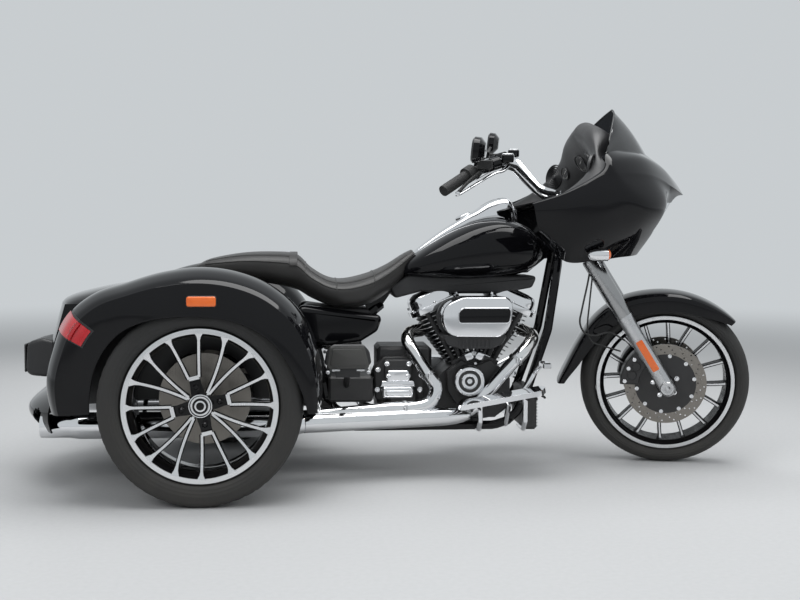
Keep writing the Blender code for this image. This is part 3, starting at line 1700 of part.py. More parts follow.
def handlebar():
    left = bar_path()
    path = both_sides(left)[::-1] + left[1:]
    pieces = [pipe("bar", path, bar_radius)]
    yoke = neck_place(upper_clamp_height)
    for sign in (-1, 1):
        foot = yoke.lerp(leg_place(upper_clamp_height, sign), 0.4)
        top = Vector((left[0].x, foot.y, left[0].z))
        pieces.append(bar("riser", top, foot, bar_radius * 1.25))
    made = joined("handlebar", pieces)
    return seated_on(made, ("fork_tree",))


def grip(sign):
    """Rubber grip with its switch housing, reservoir and lever."""
    path = bar_path() if sign > 0 else both_sides(bar_path())
    end, inner = path[-1], path[-2]
    direction = (end - inner).normalized()
    tip = end + direction * grip_overhang
    start = tip - direction * grip_length
    pieces = [bar("grip", start, tip, grip_radius, sides=16)]
    housing = start - direction * housing_length
    pieces.append(bar("housing", start + direction * grip_overhang, housing, grip_radius * 1.45, sides=16))
    ahead = Vector(lever_lead_shares)
    reservoir = housing + ahead * reservoir_reach + Vector((0, 0, reservoir_lift))
    pieces.append(block("reservoir", reservoir, (reservoir_length, reservoir_width, reservoir_height)))
    pieces.append(bar("perch", housing + direction * housing_length / 2, reservoir, perch_radius, sides=8))
    lever = [
        reservoir, start + ahead * lever_reach,
        start.lerp(tip, 0.5) + ahead * lever_reach * 0.85 - Vector((0, 0, lever_drop * 0.6)),
        start.lerp(tip, 0.95) + ahead * lever_reach - Vector((0, 0, lever_drop)),
    ]
    pieces.append(pipe("lever", lever, lever_radius))
    made = joined("grip", pieces)
    return seated_on(made, ("handlebar",))


def mirror(sign):
    """Mirror head on a stalk from the switch housing."""
    path = bar_path() if sign > 0 else both_sides(bar_path())
    foot = path[-2].lerp(path[-1], 0.02)
    centre = Vector((path[-2].x + mirror_lead, sign * bar_half_width * 0.97, bar_base_height + mirror_rise))
    rings = []
    for along, size in ((-0.5, 0.86), (-0.35, 1.0), (0.1, 0.94), (0.5, 0.5)):
        tall, wide = mirror_half_height * size, mirror_half_width * size
        ring = []
        for point in oval_ring(0, -tall, tall, wide, 3, 14):
            lean = along * mirror_depth * 2 + 0.1 * point[2]
            ring.append(centre + Vector((lean, point[1], point[2])))
        rings.append(ring)
    elbow = Vector((foot.x + mirror_lead / 2, foot.y, centre.z - mirror_half_height * 0.4))
    stalk = pipe("stalk", [foot, elbow, centre + Vector((mirror_depth * 0.3, 0, 0))], lever_radius, bend=pipe_bend / 3)
    made = joined("mirror", [loft("mirror", rings), stalk])
    word = "left" if sign > 0 else "right"
    return seated_on(made, ("handlebar", "grip_" + word))


# angle round the hub in degrees, share of the radius, share of the half width, skirt share of the radius
front_fender_shares = (
    (44, 1.0, 0.80, 0.93), (60, 0.99, 1.0, 0.84), (80, 0.99, 1.0, 0.80), (100, 1.0, 1.0, 0.79), (120, 1.03, 1.0, 0.82),
    (138, 1.04, 1.0, 0.85), (155, 1.04, 0.98, 0.88), (170, 1.08, 0.95, 0.95), (182, 1.16, 0.92, 1.08),
)


# share of the half width, share of the fall from crown to skirt
front_fender_section_shares = (
    (-1, 1), (-1, 0.45), (-0.86, 0.18), (-0.5, 0.03), (0, 0), (0.5, 0.03), (0.86, 0.18), (1, 0.45), (1, 1),
)


def front_fender():
    rows = []
    for angle, radius, width, skirt in smooth_rows(front_fender_shares, 1):
        place = math.radians(angle)
        crown = radius * front_fender_radius
        low = skirt * front_fender_radius
        half = width * front_fender_half_width
        row = []
        for across, fall in front_fender_section_shares:
            r = crown - fall * (crown - low)
            row.append(front_hub + Vector((r * math.cos(place), across * half, r * math.sin(place))))
        rows.append(row)
    shell = sheet("front_fender", [row[::-1] for row in rows], front_fender_wall)
    pieces = [shell]
    for sign in (-1, 1):
        tab_leg = leg_place(front_hub.z + tab_height, sign)
        tab_shell = Vector((tab_leg.x - tab_sweep, sign * (front_fender_half_width - front_fender_wall / 2), tab_leg.z))
        pieces.append(bar("tab", tab_shell, tab_leg, tab_radius, sides=8))
    made = joined("front_fender", pieces)
    return seated_on(made, ("fork_leg_right", "fork_leg_left"))


# Controls


def floorboard(sign):
    half = board_length / 2
    centre = Vector((board_rear + half, sign * (board_inner + board_width / 2), board_height + half * math.tan(board_pitch)))
    corners = [(-half, -board_width / 2), (half * 0.82, -board_width / 2), (half, board_width * 0.1),
               (half * 0.9, board_width / 2), (-half, board_width / 2)]
    outline = rounded_outline([(x, -sign * y) for x, y in corners], board_corner, 2)
    made = plate("floorboard", outline, 0, board_thickness, upright=False)
    made.data.transform(Matrix.Translation(centre) @ Matrix.Rotation(-board_pitch, 4, "Y"))
    pieces = [made]
    for share in (-0.45, 0.55):
        top = centre + Vector((half * share, -sign * board_width * 0.3, half * share * math.tan(board_pitch)))
        foot = Vector((top.x, sign * frame_half_width * 0.93, cradle_height))
        elbow = Vector((top.x, top.y, cradle_height))
        pieces.append(pipe("bracket", [top, elbow, foot], board_thickness / 2, bend=pipe_bend / 2))
    return seated_on(joined("floorboard", pieces), ("frame", "primary_cover"))


def passenger_board(sign):
    """Passenger's board, folded up, on its arm from the battery box."""
    left = gearbox_centre() - gearbox_length / 2 - 2 * battery_space - battery_length
    base = passenger_board_base
    # forward share of length, upward share of height
    corners = [(left + f * passenger_board_length, base + u * passenger_board_height)
               for f, u in ((0, 0), (1, 0), (0.94, 0.7), (0.82, 1), (0.18, 1), (0.06, 0.7))]
    outline = rounded_outline(corners, board_corner * 0.75, 1)
    middle = sign * (passenger_board_offset + passenger_board_thickness / 2)
    pieces = [plate("board", outline, middle, passenger_board_thickness, rounding=plate_rounding)]
    hinge = Vector((left + passenger_board_length / 2, sign * passenger_board_offset, base))
    low = hinge - Vector((0, 0, passenger_board_thickness / 2))
    knuckle = (passenger_board_length * 0.5, passenger_board_thickness * 1.3, passenger_board_thickness * 2)
    pieces.append(block("knuckle", low, knuckle))
    arm_end = Vector((hinge.x, sign * (battery_half_width - overrun), base - passenger_board_height))
    pieces.append(bar("arm", low, arm_end, passenger_board_thickness / 2, sides=8))
    return seated_on(joined("passenger_board", pieces), ("battery_box",))


def battery_box():
    centre = gearbox_centre() - gearbox_length / 2 - battery_space - battery_length / 2
    made = block(
        "battery_box", (centre, 0, battery_base + battery_height / 2),
        (battery_length, 2 * battery_half_width, battery_height), rounding=block_rounding,
    )
    return seated_on(made, ("frame", "headers"))


def oil_cooler():
    ahead = frame_reach * downtube_shares[4][0] + cooler_space
    centre = (ahead, 0, crank_height - crankcase_depth * 0.68)
    made = block("oil_cooler", centre, (cooler_length, 2 * cooler_half_width, cooler_height), rounding=block_rounding)
    return seated_on(made, ("frame",))


def brake_pedal():
    pivot = Vector((board_rear + board_length * 0.62, -(board_inner - 2 * pedal_radius), board_height))
    pad = Vector((board_rear + board_length * 0.97, -(board_inner + board_width * 0.5), board_height + pedal_rise))
    arm = [
        pivot, pivot + Vector((pedal_elbow, 0, pedal_elbow * 0.92)),
        Vector((pad.x - pedal_radius, -(board_inner - pedal_radius * 1.5), pad.z - pedal_radius)), pad,
    ]
    made = pipe("arm", arm, pedal_radius)
    foot = block("pad", pad, (pad_length, pad_width, pad_height), rounding=plate_rounding)
    foot_pivot = bar("pivot", pivot, Vector((pivot.x, -frame_half_width * 0.9, cradle_height)), tab_radius, sides=8)
    return seated_on(joined("brake_pedal", [made, foot, foot_pivot]), ("frame", "floorboard_right", "headers"))


def shift_lever():
    """Heel and toe lever on a pivot that stands out of the primary cover."""
    cover = crankcase_half_width + primary_reach
    inner = cover + pedal_radius * 1.5
    outer = board_inner + board_width * 0.4
    pivot = Vector((board_rear + board_length * 0.45, inner, board_height + lever_pivot_rise))
    toe = Vector((board_rear + board_length * 0.98, outer, board_height + lever_toe_rise))
    heel = Vector((board_rear, outer, board_height + lever_heel_rise))
    run = [
        heel, Vector((heel.x + lever_crank, inner, heel.z)), pivot,
        Vector((toe.x - lever_crank, inner, toe.z - lever_crank / 2)), toe,
    ]
    pieces = [pipe("arm", run, pedal_radius, bend=pipe_bend / 6)]
    for place in (toe, heel):
        pieces.append(bar("peg", place - side * 0.02, place + side * 0.03, pedal_radius * 1.4))
    pieces.append(bar("pivot", pivot, Vector((pivot.x, cover - overrun, pivot.z)), pedal_radius * 1.2))
    return seated_on(joined("shift_lever", pieces), ("primary_cover", "frame", "floorboard_left"))


# Assembly


def empty(name, place, parent=None, rotation=(0, 0, 0)):
    made = linked(name, None)
    made.empty_display_size = frame_half_width
    made.location = place
    made.rotation_euler = rotation
    if parent is not None:
        made.parent = parent
        bpy.context.view_layer.update()
        made.matrix_parent_inverse = parent.matrix_world.inverted()
    bpy.context.view_layer.update()
    return made


def ride(names, carrier):
    """Parent pieces to an empty and leave them where they are."""
    bpy.context.view_layer.update()
    for name in names:
        made_nodes[name].parent = carrier
        made_nodes[name].matrix_parent_inverse = carrier.matrix_world.inverted()


def keep_pair(left, name, finish):
    keep(mirrored(left, "right"), name + "_right", finish)
    keep(left, name + "_left", finish)


def make_pieces():
    rear_wheels()
    front_wheel()
    keep(fairing(), "fairing", "gloss_black")
    keep(frame(), "frame", "gloss_black")
    keep(crankcase(), "crankcase", "satin_black")
    for sign, word in ((-1, "rear"), (1, "front")):
        keep(cylinder(sign), "cylinder_" + word, "satin_black")
        keep(rocker_cover(sign), "rocker_cover_" + word, "chrome")
    keep(seated_on(cam_cover(), ("crankcase", "cylinder_rear", "cylinder_front", "rocker_cover_rear", "rocker_cover_front")), "cam_cover", "chrome")
    keep(gearbox(), "gearbox", "satin_black")
    keep(seated_on(primary_cover(), ("frame", "gearbox")), "primary_cover", "chrome")
    keep(air_cleaner(), "air_cleaner", "chrome")
    keep_pair(muffler(1), "muffler", "chrome")
    keep(headers(), "exhaust_headers", "chrome")
    made_nodes["headers"] = made_nodes["exhaust_headers"]
    keep(fuel_tank(), "fuel_tank", "gloss_black")
    keep(tank_console(), "tank_console", "chrome")
    keep_pair(fender(), "rear_fender", "gloss_black")
    keep_pair(tail_lamp(), "tail_lamp", "red_lens")
    keep_pair(marker(), "marker_lamp", "amber")
    keep(rear_deck(), "rear_deck", "gloss_black")
    keep(seat(), "seat", "leather")
    keep(trunk_tub(), "trunk_tub", "gloss_black")
    keep(trunk_lid(), "trunk_lid", "gloss_black")
    keep(plate_bracket(), "plate_bracket", "satin_black")
    keep(rear_axle(), "rear_axle", "satin_black")
    keep(battery_box(), "battery_box", "satin_black")
    keep(oil_cooler(), "oil_cooler", "satin_black")
    keep(headlamp(), "headlamp", "lens")
    keep(windshield(), "windshield", "smoke")
    keep(dashboard(), "dashboard", "satin_black")
    keep_pair(turn_signal(1), "turn_signal", "chrome")
    keep_pair(floorboard(1), "floorboard", "chrome")
    keep_pair(passenger_board(1), "passenger_board", "satin_black")
    keep(brake_pedal(), "brake_pedal", "chrome")
    keep(shift_lever(), "shift_lever", "chrome")
    keep(front_axle(), "front_axle", "chrome")
    keep_pair(fork_leg(1), "fork_leg", "chrome")
    keep(fork_tree(), "fork_tree", "satin_black")
    keep(handlebar(), "handlebar", "chrome")
    keep_pair(calliper(1), "calliper", "satin_black")
    keep_pair(grip(1), "grip", "satin_black")
    keep_pair(mirror(1), "mirror", "chrome")
    keep(front_fender(), "front_fender", "gloss_black")
    del made_nodes["headers"]


steering_nodes = (
    "fork_tree", "fork_leg_right", "fork_leg_left", "front_axle", "handlebar", "grip_right", "grip_left",
    "mirror_right", "mirror_left", "calliper_right", "calliper_left", "front_fender",
)
turning_wheels = {
    "front_wheel_axis": ("front_wheel", "front_tyre"),
    "rear_wheel_right_axis": ("rear_wheel_right", "rear_tyre_right"),
    "rear_wheel_left_axis": ("rear_wheel_left", "rear_tyre_left"),
}


def assemble():
    """Parent every piece to the empty on its joint's axis, and park the steering as it stands."""
    vehicle = empty("vehicle", (0, 0, 0))
    head = empty("steering_head", neck_place(lower_clamp_height), vehicle, (0, -rake_angle, 0))
    steering = empty("steering", neck_place(lower_clamp_height), head, (0, -rake_angle, 0))
    hinge = empty("trunk_hinge", (tub_front - lid_edge_gap, 0, tub_rim + lid_hinge_rise), vehicle)
    front = empty("front_wheel_axis", front_hub, steering)
    right = empty("rear_wheel_right_axis", rear_hub - side * half_track, vehicle)
    left = empty("rear_wheel_left_axis", rear_hub + side * half_track, vehicle)
    ride(steering_nodes, steering)
    ride(("trunk_lid",), hinge)
    for carrier in (front, right, left):
        ride(turning_wheels[carrier.name], carrier)
    moved = set(steering_nodes) | {"trunk_lid"} | {name for names in turning_wheels.values() for name in names}
    ride([name for name in made_nodes if name not in moved], vehicle)
    steering.rotation_euler = (
        Matrix.Rotation(-rake_angle, 3, "Y") @ Matrix.Rotation(parked_turn, 3, "Z")
    ).to_euler()
    centre_on_floor(vehicle)


def centre_on_floor(vehicle):
    """Move the vehicle so that the middle of its box, on the floor, is the origin."""
    bpy.context.view_layer.update()
    points = [
        made.matrix_world @ vertex.co for made in made_nodes.values() for vertex in made.data.vertices
    ]
    for axis in range(2):
        low = min(point[axis] for point in points)
        high = max(point[axis] for point in points)
        vehicle.location[axis] -= (low + high) / 2
    bpy.context.view_layer.update()


make_pieces()
assemble()
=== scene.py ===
# Touring trike: smooth painted shells, cast wheels, engine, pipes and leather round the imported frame.
import json
import math

import bmesh
import bpy
import numpy as np
from mathutils import Matrix, Vector

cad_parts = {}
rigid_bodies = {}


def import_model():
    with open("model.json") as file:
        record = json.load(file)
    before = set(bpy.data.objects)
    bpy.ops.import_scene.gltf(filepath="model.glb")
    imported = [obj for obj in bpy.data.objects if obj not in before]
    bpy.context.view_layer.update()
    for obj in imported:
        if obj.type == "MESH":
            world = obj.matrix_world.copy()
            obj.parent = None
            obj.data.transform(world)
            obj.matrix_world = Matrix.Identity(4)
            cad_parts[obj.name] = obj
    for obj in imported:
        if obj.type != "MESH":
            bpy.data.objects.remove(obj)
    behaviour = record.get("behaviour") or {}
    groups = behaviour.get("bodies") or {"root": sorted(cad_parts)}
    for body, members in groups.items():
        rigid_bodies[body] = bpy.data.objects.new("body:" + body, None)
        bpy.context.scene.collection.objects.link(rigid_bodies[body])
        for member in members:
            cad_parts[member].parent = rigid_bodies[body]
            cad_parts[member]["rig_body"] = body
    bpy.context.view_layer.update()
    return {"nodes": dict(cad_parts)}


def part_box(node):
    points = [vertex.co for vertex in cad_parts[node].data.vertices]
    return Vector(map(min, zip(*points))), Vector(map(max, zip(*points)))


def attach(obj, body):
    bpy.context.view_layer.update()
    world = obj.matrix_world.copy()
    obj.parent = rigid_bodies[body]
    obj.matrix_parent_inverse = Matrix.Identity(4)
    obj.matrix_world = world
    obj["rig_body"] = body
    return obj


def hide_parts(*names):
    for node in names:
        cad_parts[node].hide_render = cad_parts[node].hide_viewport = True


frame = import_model()
world = bpy.context.scene.world or bpy.data.worlds.new("studio")
bpy.context.scene.world = world

# Lengths are measured from the rear axle and the floor, steering straight ahead; settle() puts them in place.
rearLow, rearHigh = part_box("rear_tyre_right")
axleX = (rearLow.x + rearHigh.x) / 2
stance = dict(wheelbase=1.675, trail=0.175, halfTrack=0.56, rearRadius=0.319, hubHeight=0.311126, legSpread=0.125,
              rake=math.radians(26), lean=math.radians(32), turn=math.radians(-14))
steerAxis = np.array([-math.sin(stance["rake"]), 0, math.cos(stance["rake"])])
steerFoot = np.array([stance["wheelbase"] + stance["trail"], 0, 0])
legAxis = np.array([-math.sin(stance["lean"]), 0, math.cos(stance["lean"])])
rearHub = np.array([0, 0, stance["rearRadius"]])
frontHub = np.array([stance["wheelbase"], 0, stance["hubHeight"]])
sideways = np.array([0, 1.0, 0])
steerTurn = np.array(Matrix.Rotation(stance["turn"], 3, Vector(steerAxis)))
bothSides = (("Right", -1), ("Left", 1))


def neckPlace(height):
    return steerFoot + steerAxis * height / steerAxis[2]


def legPlace(height, sign=0):
    return frontHub + legAxis * (height - frontHub[2]) / legAxis[2] + sideways * stance["legSpread"] * sign


def settle(points, body):
    # moved to the frame's place, and turned about the steering axis where the body steers
    points = np.asarray(points, float).reshape(-1, 3)
    if body in ("steering", "front_wheel"):
        points = (points - steerFoot) @ steerTurn.T + steerFoot
    return points + (axleX, 0, 0)


def unturn(points):
    # points as the picture has them, put back to straight steering
    return (np.asarray(points, float) - steerFoot) @ steerTurn + steerFoot


# a part is (points, [face arrays])

def gridFaces(rows, columns, closeRows=False, closeColumns=False):
    # quads between neighbouring rows and columns, wrapped round where the grid is closed
    i, j = np.meshgrid(np.arange(rows if closeRows else rows - 1),
                       np.arange(columns if closeColumns else columns - 1), indexing="ij")
    i2, j2 = (i + 1) % rows, (j + 1) % columns
    return np.stack([i * columns + j, i * columns + j2, i2 * columns + j2, i2 * columns + j], -1).reshape(-1, 4)


def smooth(rows, cuts):
    # Catmull-Rom: cubic curve through the rows, cuts steps between each two, ends held
    rows = np.asarray(rows, float)
    flat = rows.reshape(rows.shape[0], -1)
    a, b = np.vstack([flat[:1], flat[:-2]])[:, None], flat[:-1, None]
    c, d = flat[1:, None], np.vstack([flat[2:], flat[-1:]])[:, None]
    t = (np.arange(cuts) / cuts)[None, :, None]
    made = 0.5 * (2 * b + (c - a) * t + (2 * a - 5 * b + 4 * c - d) * t ** 2 + (3 * b - a - 3 * c + d) * t ** 3)
    return np.vstack([made.reshape(-1, flat.shape[1]), flat[-1:]]).reshape(-1, *rows.shape[1:])


def unit(v):
    return v / np.maximum(np.linalg.norm(v, axis=-1, keepdims=True), 1e-12)


def radial(radius, angle, across=0.0):
    # points at a radius and angle round the Y axis, and a distance along it
    return np.stack(np.broadcast_arrays(radius * np.cos(angle), across, radius * np.sin(angle)), -1)


def roundel(count, closed=False):
    return np.linspace(0, 2 * np.pi, count, endpoint=closed)


def oval(halfWide, halfTall, power, count):
    # superellipse: signed powers of cosine and sine of the angle
    c, s = np.cos(roundel(count)), np.sin(roundel(count))
    return np.stack([np.sign(c) * np.abs(c) ** (2 / power) * halfWide,
                     np.sign(s) * np.abs(s) ** (2 / power) * halfTall], -1)


def loft(rings, caps=True):
    # skin through closed rings, flat ends
    rings = np.asarray(rings, float)
    rows, columns = rings.shape[:2]
    faces = [gridFaces(rows, columns, closeColumns=True)]
    if caps:
        faces += [np.arange(columns)[None, ::-1], np.arange((rows - 1) * columns, rows * columns)[None]]
    return rings.reshape(-1, 3), faces


def acrossLoft(stations, power, count):
    # superellipses across the trike, one for each row of (x, low, high, half width)
    flat = oval(1, 1, power, count)
    low, high = stations[:, 1:2], stations[:, 2:3]
    y = flat[None, :, 0] * stations[:, 3:4]
    z = (low + high) / 2 + flat[None, :, 1] * (high - low) / 2
    return np.stack([np.broadcast_to(stations[:, :1], y.shape), y, z], -1)


def normals(grid):
    return unit(np.cross(np.gradient(grid, axis=1), np.gradient(grid, axis=0)))


def shell(grid, wall, flip=False, keep=None):
    # closed wall: the outer points, the same moved in along their normals, and rims round the kept cells
    rows, columns = grid.shape[:2]
    inner = grid - normals(grid) * (-wall if flip else wall)
    quads = gridFaces(rows, columns)
    if keep is not None:
        quads = quads[keep.reshape(-1)]
    size = rows * columns
    start, end = quads.reshape(-1), np.roll(quads, -1, 1).reshape(-1)
    lone = ~np.isin(start * size + end, end * size + start)
    rim = np.stack([start, start + size, end + size, end], -1)[lone]
    return np.concatenate([grid.reshape(-1, 3), inner.reshape(-1, 3)]), [quads, quads[:, ::-1] + size, rim]


def sweep(path, section, ref=(0, 1, 0), sizes=1.0, caps=True):
    # a section of (a, b) points carried along a path and scaled; a is held as near ref as it can be
    path, section = np.asarray(path, float), np.asarray(section, float)
    along = unit(np.gradient(path, axis=0))
    ref = np.broadcast_to(np.asarray(ref, float), path.shape)
    first = unit(ref - (ref * along).sum(-1, keepdims=True) * along)
    second = np.cross(along, first)
    sizes = np.broadcast_to(np.asarray(sizes, float), (len(path),))[:, None, None]
    offsets = first[:, None] * section[None, :, :1] + second[:, None] * section[None, :, 1:]
    return loft(path[:, None] + offsets * sizes, caps)


def tube(path, radius, sides=20, ref=(0, 1, 0), sizes=1.0):
    return sweep(path, oval(radius, radius, 2, sides), ref, sizes)


def arcs(corners, radius, steps=6):
    # a path with each bend replaced by a quadratic arc
    corners = np.asarray(corners, float)
    before, here, after = corners[:-2], corners[1:-1], corners[2:]
    back, ahead = unit(before - here), unit(after - here)
    half = np.arccos(np.clip((back * ahead).sum(-1), -1, 1)) / 2
    room = np.minimum(np.linalg.norm(before - here, axis=-1), np.linalg.norm(after - here, axis=-1))
    run = np.minimum(radius / np.tan(half), 0.48 * room)[:, None]
    start, end = here + back * run, here + ahead * run
    t = np.linspace(0, 1, steps + 1)[None, :, None]
    bend = (1 - t) ** 2 * start[:, None] + 2 * t * (1 - t) * here[:, None] + t ** 2 * end[:, None]
    return np.vstack([corners[:1], bend.reshape(-1, corners.shape[1]), corners[-1:]])


def rounded(corners, radius, steps=6):
    # a closed outline with each corner replaced by an arc
    corners = np.asarray(corners, float)
    return arcs(np.vstack([corners[-1:], corners, corners[:1]]), radius, steps)[1:-1]


def oblong(left, low, right, high):
    return [(left, low), (right, low), (right, high), (left, high)]


def basis(axis):
    # an axis and two directions across it
    axis = unit(np.asarray(axis, float))
    ref = np.array([0, 0, 1.0]) if abs(axis[2]) < 0.9 else np.array([1.0, 0, 0])
    first = unit(np.cross(ref, axis))
    return axis, first, np.cross(axis, first)


def lathe(profile, centre=(0, 0, 0), axis=(0, 1, 0), sides=48, closed=False):
    # a profile of (radius, along) turned round an axis
    axis, first, second = basis(axis)
    profile = np.asarray(profile, float)
    angle = roundel(sides)[:, None]
    around = first[None] * np.cos(angle) + second[None] * np.sin(angle)
    rings = np.asarray(centre) + axis * profile[:, None, 1:] + around[None] * profile[:, None, :1]
    if closed:
        return rings.reshape(-1, 3), [gridFaces(len(profile), sides, closeRows=True, closeColumns=True)]
    return loft(rings)


def upright(profile, sides):
    return lathe(profile, (0, 0, 0), (0, 0, 1), sides)


def rod(start, end, radius, endRadius=None, sides=24, ease=0.0015):
    # a round bar with eased ends
    start, end = np.asarray(start, float), np.asarray(end, float)
    length = np.linalg.norm(end - start)
    endRadius = radius if endRadius is None else endRadius
    profile = [(radius - ease, 0), (radius, ease), (endRadius, length - ease), (endRadius - ease, length)]
    return lathe(profile, start, end - start, sides)


def prism(outline, low, high, ease=0.002, steps=3, plane="xz"):
    # a flat outline given its thickness, its rim rounded over by rings set in by a quarter circle
    outline = np.asarray(outline, float)
    tangent = unit(np.roll(outline, -1, 0) - np.roll(outline, 1, 0))
    area = np.sum(outline[:, 0] * np.roll(outline[:, 1], -1) - np.roll(outline[:, 0], -1) * outline[:, 1])
    inward = np.stack([-tangent[:, 1], tangent[:, 0]], -1) * np.sign(area)
    turn = np.linspace(0, np.pi / 2, steps + 1)
    inset, depth = ease * (1 - np.sin(turn)), ease * (1 - np.cos(turn)) * np.sign(high - low)
    levels, insets = np.concatenate([low + depth, (high - depth)[::-1]]), np.concatenate([inset, inset[::-1]])
    flat = outline[None] + inward[None] * insets[:, None, None]
    level = np.broadcast_to(levels[:, None, None], flat.shape[:2] + (1,))
    order = {"xz": [0, 2, 1], "xy": [0, 1, 2], "yz": [2, 0, 1]}[plane]
    return loft(np.concatenate([flat, level], -1)[..., order])


def slab(corners, radius, cuts, low, high, ease=0.002, steps=3, plane="xz"):
    # rounded outline, then prism
    return prism(rounded(corners, radius, cuts), low, high, ease, steps, plane)


def moved(part, place):
    return part[0] + place, part[1]


def mirrored(part, sign):
    return part[0] * (1, sign, 1), part[1]


def copies(part, places, directions):
    # the part repeated at each place, its +Z turned to each direction
    points, faces = part
    places = np.asarray(places, float).reshape(-1, 3)
    ways = np.broadcast_to(unit(np.asarray(directions, float)), places.shape)
    first = unit(np.cross(np.where(np.abs(ways[:, 2:]) < 0.9, [[0, 0, 1.0]], [[1.0, 0, 0]]), ways))
    second = np.cross(ways, first)
    made = (points[None, :, :1] * first[:, None] + points[None, :, 1:2] * second[:, None]
            + points[None, :, 2:] * ways[:, None])
    offset = np.arange(len(places)) * len(points)
    return ((made + places[:, None]).reshape(-1, 3),
            [(f[None] + offset[:, None, None]).reshape(-1, f.shape[1]) for f in faces])


def joinParts(parts):
    points, faces, start = [], [], 0
    for p, f in parts:
        points.append(np.asarray(p, float).reshape(-1, 3))
        faces += [np.asarray(a) + start for a in f]
        start += len(points[-1])
    return np.concatenate(points), faces


def boltHead(radius, height):
    # six-sided head with a washer under it and an eased top, standing on z = 0
    washer = upright([(radius * 1.25, -height * 0.3), (radius * 1.25, height * 0.18), (radius, height * 0.2)], 16)
    return joinParts([washer, upright([(radius, 0), (radius, height * 0.85), (radius * 0.8, height)], 6)])


def capScrew(radius, height):
    # round cap screw with a socket, standing on z = 0
    return upright([(radius, -height * 0.2), (radius, height * 0.85), (radius * 0.86, height), (radius * 0.5, height),
                    (radius * 0.45, height * 0.5), (0, height * 0.45)], 14)


def mend(mesh, near, thin, flat=0.0):
    # merge doubles, join flat triangles where asked, drop slivers and point the faces outwards
    shape = bmesh.new()
    shape.from_mesh(mesh)
    bmesh.ops.remove_doubles(shape, verts=shape.verts, dist=near)
    if flat:
        bmesh.ops.dissolve_limit(shape, angle_limit=flat, verts=shape.verts, edges=shape.edges)
    bmesh.ops.dissolve_degenerate(shape, edges=shape.edges, dist=thin)
    bmesh.ops.recalc_face_normals(shape, faces=shape.faces)
    shape.to_mesh(mesh)
    shape.free()


def dress(piece, finish, body, node, crease, bevel=0):
    bpy.context.scene.collection.objects.link(piece)
    mesh = piece.data
    mesh.materials.clear()
    mesh.materials.append(materials[finish])
    if bevel:
        step = piece.modifiers.new("edges", "BEVEL")
        step.width, step.segments, step.limit_method = bevel, 2, "ANGLE"
        step.angle_limit = math.radians(30)
        step.use_clamp_overlap = True
        step.harden_normals = False
    mesh.shade_smooth()
    mesh.set_sharp_from_angle(angle=math.radians(crease))
    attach(piece, body)
    if node:
        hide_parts(node)
    return piece


def make(name, parts, finish, body="chassis", node=None, crease=32):
    # join the parts into one piece that rides on its body, in place of a node where one is named
    points, faces = joinParts(parts if isinstance(parts, list) else [parts])
    mesh = bpy.data.meshes.new(name)
    mesh.from_pydata(settle(points, body).tolist(), [], [face for a in faces for face in a.tolist()])
    mend(mesh, 1e-5, 1e-6)
    return dress(bpy.data.objects.new(name, mesh), finish, body, node, crease)


def nodeMaker(owner):
    tree = owner.node_tree

    def add(kind, inputs=(), **settings):
        node = tree.nodes.new(kind)
        for key, value in settings.items():
            setattr(node, key, value)
        for key, value in dict(inputs).items():
            if isinstance(value, bpy.types.NodeSocket):
                tree.links.new(value, node.inputs[key])
            else:
                node.inputs[key].default_value = value
        return node

    def blend(factor, one, other):
        # two colours or colour sockets mixed
        node = add("ShaderNodeMix", {"Factor": factor}, data_type="RGBA")
        for key, value in (("A", one), ("B", other)):
            if isinstance(value, bpy.types.NodeSocket):
                tree.links.new(value, node.inputs[key])
            else:
                node.inputs[key].default_value = (*value, 1)
        return node.outputs["Result"]
    return tree, add, blend


dustColour = (0.22, 0.20, 0.17)
dustHeight = 0.5


